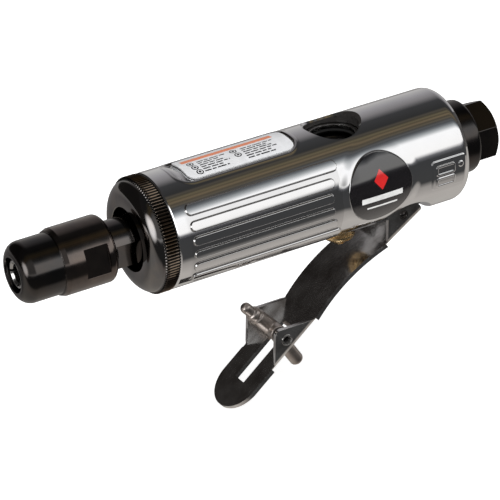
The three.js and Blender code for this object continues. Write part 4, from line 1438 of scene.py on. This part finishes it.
# ---- stage ---------------------------------------------------------------------------------------
CAMERA_PLACE = (-0.41033, -0.79451, 0.49725)
CAMERA_RIGHT = (0.86967, -0.48769, -0.07635)
CAMERA_FORWARD = (0.40765, 0.79678, -0.44605)
CAMERA_LENS = 222.55

# what the polished barrel mirrors, by direction round the tool's long axis: degrees from -Y
# towards +Z, and colour
SURROUND = [
    (-180, (0.4, 0.39, 0.38)), (-168, (0.25, 0.24, 0.24)), (-140, (0.25, 0.24, 0.23)),
    (-122, (0.44, 0.42, 0.39)), (-80, (0.46, 0.43, 0.4)), (-54, (0.32, 0.3, 0.28)),
    (-43, (0.05, 0.05, 0.05)), (2, (0.045, 0.046, 0.048)), (9, (0.14, 0.14, 0.15)),
    (16, (1.03, 1.02, 1.0)), (45, (1.06, 1.06, 1.06)), (52, (0.42, 0.44, 0.45)),
    (58, (0.14, 0.15, 0.16)), (62, (0.07, 0.075, 0.08)), (65, (0.1, 0.1, 0.1)),
    (68, (0.05, 0.05, 0.048)), (71, (0.12, 0.1, 0.07)), (74, (0.06, 0.052, 0.04)),
    (78, (0.17, 0.13, 0.08)), (81, (0.07, 0.058, 0.04)), (84, (0.14, 0.115, 0.07)),
    (88, (0.05, 0.045, 0.035)), (91, (0.08, 0.07, 0.055)), (95, (0.03, 0.03, 0.03)),
    (118, (0.045, 0.045, 0.047)), (134, (0.22, 0.21, 0.215)), (152, (0.33, 0.32, 0.33)),
    (180, (0.5, 0.49, 0.48)),
]
SURROUND_PEAK = 1.06
UPPER_SHIFT = {"start": 0.47, "full": 0.385, "degrees": 9}
FLAG_START, FLAG_FULL = 0.3, -0.05
FLAG_LOW, FLAG_HIGH = 88, 118
LAMP_DIRECTION = (-0.925, -0.284, 0.257)
LAMP_EDGE, LAMP_CORE = 0.93, 0.985
LAMP_COLOR = (3.0, 3.0, 3.0)
SPILL_COLOR = (0.24, 0.24, 0.24)
FLAG_COLOR = (0.025, 0.023, 0.022)


def build_camera():
    camera = bpy.data.cameras.new("camera")
    camera.sensor_width = 36
    camera.lens = CAMERA_LENS
    camera.clip_start = 0.01
    holder = bpy.data.objects.new("camera", camera)
    bpy.context.scene.collection.objects.link(holder)
    right = Vector(CAMERA_RIGHT).normalized()
    back = -Vector(CAMERA_FORWARD).normalized()
    up = back.cross(right).normalized()
    turn = Matrix((right, up, back)).transposed().to_4x4()
    holder.matrix_world = Matrix.Translation(Vector(CAMERA_PLACE)) @ turn
    bpy.context.scene.camera = holder


def blend(tree, factor, color, other):
    """Moves a colour towards a fixed one by factor."""
    node = tree.nodes.new("ShaderNodeMix")
    node.data_type = "RGBA"
    tree.links.new(factor, node.inputs[0])
    tree.links.new(color, node.inputs[6])
    node.inputs[7].default_value = (*other, 1)
    return node.outputs[2]


def softbox_end(tree, along, share):
    """1 past the softbox's end, towards the collet, where only a dim spill is left."""
    turn = [(180 + degrees) / 360 for degrees in (4, 12, 66, 52)]
    return product_of_ranges(tree, ((along, 0.32, 0.12, 1.0), (share, turn[0], turn[1], 1.0),
                                    (share, turn[2], turn[3], 1.0)))


def lamp_spot(tree, direction):
    """A small round lamp off to the collet end."""
    dot = tree.nodes.new("ShaderNodeVectorMath")
    dot.operation = "DOT_PRODUCT"
    tree.links.new(direction, dot.inputs[0])
    dot.inputs[1].default_value = LAMP_DIRECTION
    return product_of_ranges(tree, ((dot.outputs["Value"], LAMP_EDGE, LAMP_CORE, 1.0),))


def dark_flag(tree, along, share):
    """A black flag behind and above the tool, towards the collet end only."""
    return product_of_ranges(tree, ((along, FLAG_START, FLAG_FULL, 1.0),
                                    (share, (FLAG_LOW + 180) / 360, (FLAG_HIGH + 180) / 360, 1.0)))


def upper_shift(tree, along, share):
    """The upper strips hang lower towards the collet end."""
    limit = UPPER_SHIFT["degrees"] / 360
    return product_of_ranges(tree, ((along, UPPER_SHIFT["start"], UPPER_SHIFT["full"], limit),
                                    (share, (180 - 10) / 360, (180 + 8) / 360, 1.0)))


def product_of_ranges(tree, ranges):
    """The product of (source, start, full, top) ramps, each from 0 at start to top at full."""
    values = []
    for source, start, full, top in ranges:
        node = tree.nodes.new("ShaderNodeMapRange")
        node.inputs["From Min"].default_value = start
        node.inputs["From Max"].default_value = full
        node.inputs["To Max"].default_value = top
        tree.links.new(source, node.inputs["Value"])
        values.append(node.outputs["Result"])
    result = values[0]
    for value in values[1:]:
        both = tree.nodes.new("ShaderNodeMath")
        both.operation = "MULTIPLY"
        tree.links.new(result, both.inputs[0])
        tree.links.new(value, both.inputs[1])
        result = both.outputs["Value"]
    return result


def build_surround():
    """A soft studio: long light and dark strips that run parallel to the tool."""
    surround = bpy.data.worlds.new("studio")
    bpy.context.scene.world = surround
    surround.use_nodes = True
    tree = surround.node_tree
    tree.nodes.clear()
    place = tree.nodes.new("ShaderNodeTexCoord")
    split = tree.nodes.new("ShaderNodeSeparateXYZ")
    tree.links.new(place.outputs["Generated"], split.inputs["Vector"])
    flip = tree.nodes.new("ShaderNodeMath")
    flip.operation = "MULTIPLY"
    flip.inputs[1].default_value = -1
    tree.links.new(split.outputs["Y"], flip.inputs[0])
    turn = tree.nodes.new("ShaderNodeMath")
    turn.operation = "ARCTAN2"
    tree.links.new(split.outputs["Z"], turn.inputs[0])
    tree.links.new(flip.outputs["Value"], turn.inputs[1])
    share = tree.nodes.new("ShaderNodeMapRange")
    share.inputs["From Min"].default_value = -math.pi
    share.inputs["From Max"].default_value = math.pi
    tree.links.new(turn.outputs["Value"], share.inputs["Value"])
    ramp = tree.nodes.new("ShaderNodeValToRGB")
    stops = []
    for degrees, color in SURROUND:
        stops.append(((degrees + 180) / 360, tuple(c / SURROUND_PEAK for c in color)))
    set_stops(ramp.color_ramp, stops)
    along, around = split.outputs["X"], share.outputs["Result"]
    lowered = tree.nodes.new("ShaderNodeMath")
    tree.links.new(around, lowered.inputs[0])
    tree.links.new(upper_shift(tree, along, around), lowered.inputs[1])
    tree.links.new(lowered.outputs["Value"], ramp.inputs["Fac"])
    studio = tree.nodes.new("ShaderNodeBackground")
    studio.inputs["Strength"].default_value = SURROUND_PEAK
    light = blend(tree, softbox_end(tree, along, around), ramp.outputs["Color"], SPILL_COLOR)
    light = blend(tree, dark_flag(tree, along, around), light, FLAG_COLOR)
    light = blend(tree, lamp_spot(tree, place.outputs["Generated"]), light, LAMP_COLOR)
    tree.links.new(light, studio.inputs["Color"])
    backdrop = tree.nodes.new("ShaderNodeBackground")
    backdrop.inputs["Color"].default_value = (0.96, 0.96, 0.96, 1)
    ray = tree.nodes.new("ShaderNodeLightPath")
    mix = tree.nodes.new("ShaderNodeMixShader")
    tree.links.new(ray.outputs["Is Camera Ray"], mix.inputs["Fac"])
    tree.links.new(studio.outputs["Background"], mix.inputs[1])
    tree.links.new(backdrop.outputs["Background"], mix.inputs[2])
    output = tree.nodes.new("ShaderNodeOutputWorld")
    tree.links.new(mix.outputs["Shader"], output.inputs["Surface"])


def build_key_light():
    """A broad soft overhead light for the printed and painted pieces. Metals mirror the surround
    instead, so it stays out of reflections."""
    data = bpy.data.lights.new("overhead", "AREA")
    data.shape = "DISK"
    data.size = 1.2
    data.energy = 14
    light = bpy.data.objects.new("overhead", data)
    light.location = (-0.1, -0.5, 1.2)
    light.rotation_euler = (math.radians(22), 0, 0)
    light.visible_glossy = False
    bpy.context.scene.collection.objects.link(light)


def build_floor():
    """A pale floor just under the lever's tip. It isn't mirrored, because the surround already
    gives the tool its pale ground."""
    bpy.ops.mesh.primitive_plane_add(size=8, location=(0, 0, cad_bounds[0][2] - 0.0005))
    floor = bpy.context.object
    floor.name = "floor"
    n = Nodes("pale_floor")
    cloud = n.noise(3, 2)
    pale = n.ramp(cloud, [(0.3, (0.86, 0.86, 0.86)), (0.7, (0.9, 0.9, 0.9))])
    n.link(pale, n.shader.inputs["Base Color"])
    n.shader.inputs["Roughness"].default_value = 0.9
    n.shader.inputs["Emission Color"].default_value = (1, 1, 1, 1)
    n.shader.inputs["Emission Strength"].default_value = 0.8
    floor.data.materials.append(n.material)
    floor.visible_glossy = False


build_camera()
build_surround()
build_key_light()
build_floor()
dress_cad_nodes()
build_barrel()
build_label()
build_badge()
build_cap()
build_nut()
build_collet_body()
build_collet()
build_inlet()
build_valve()
build_regulator()
build_lever()
build_pins()
build_latch()
build_latch_spring()
build_valve_spring()

bpy.context.scene.view_settings.view_transform = "Standard"
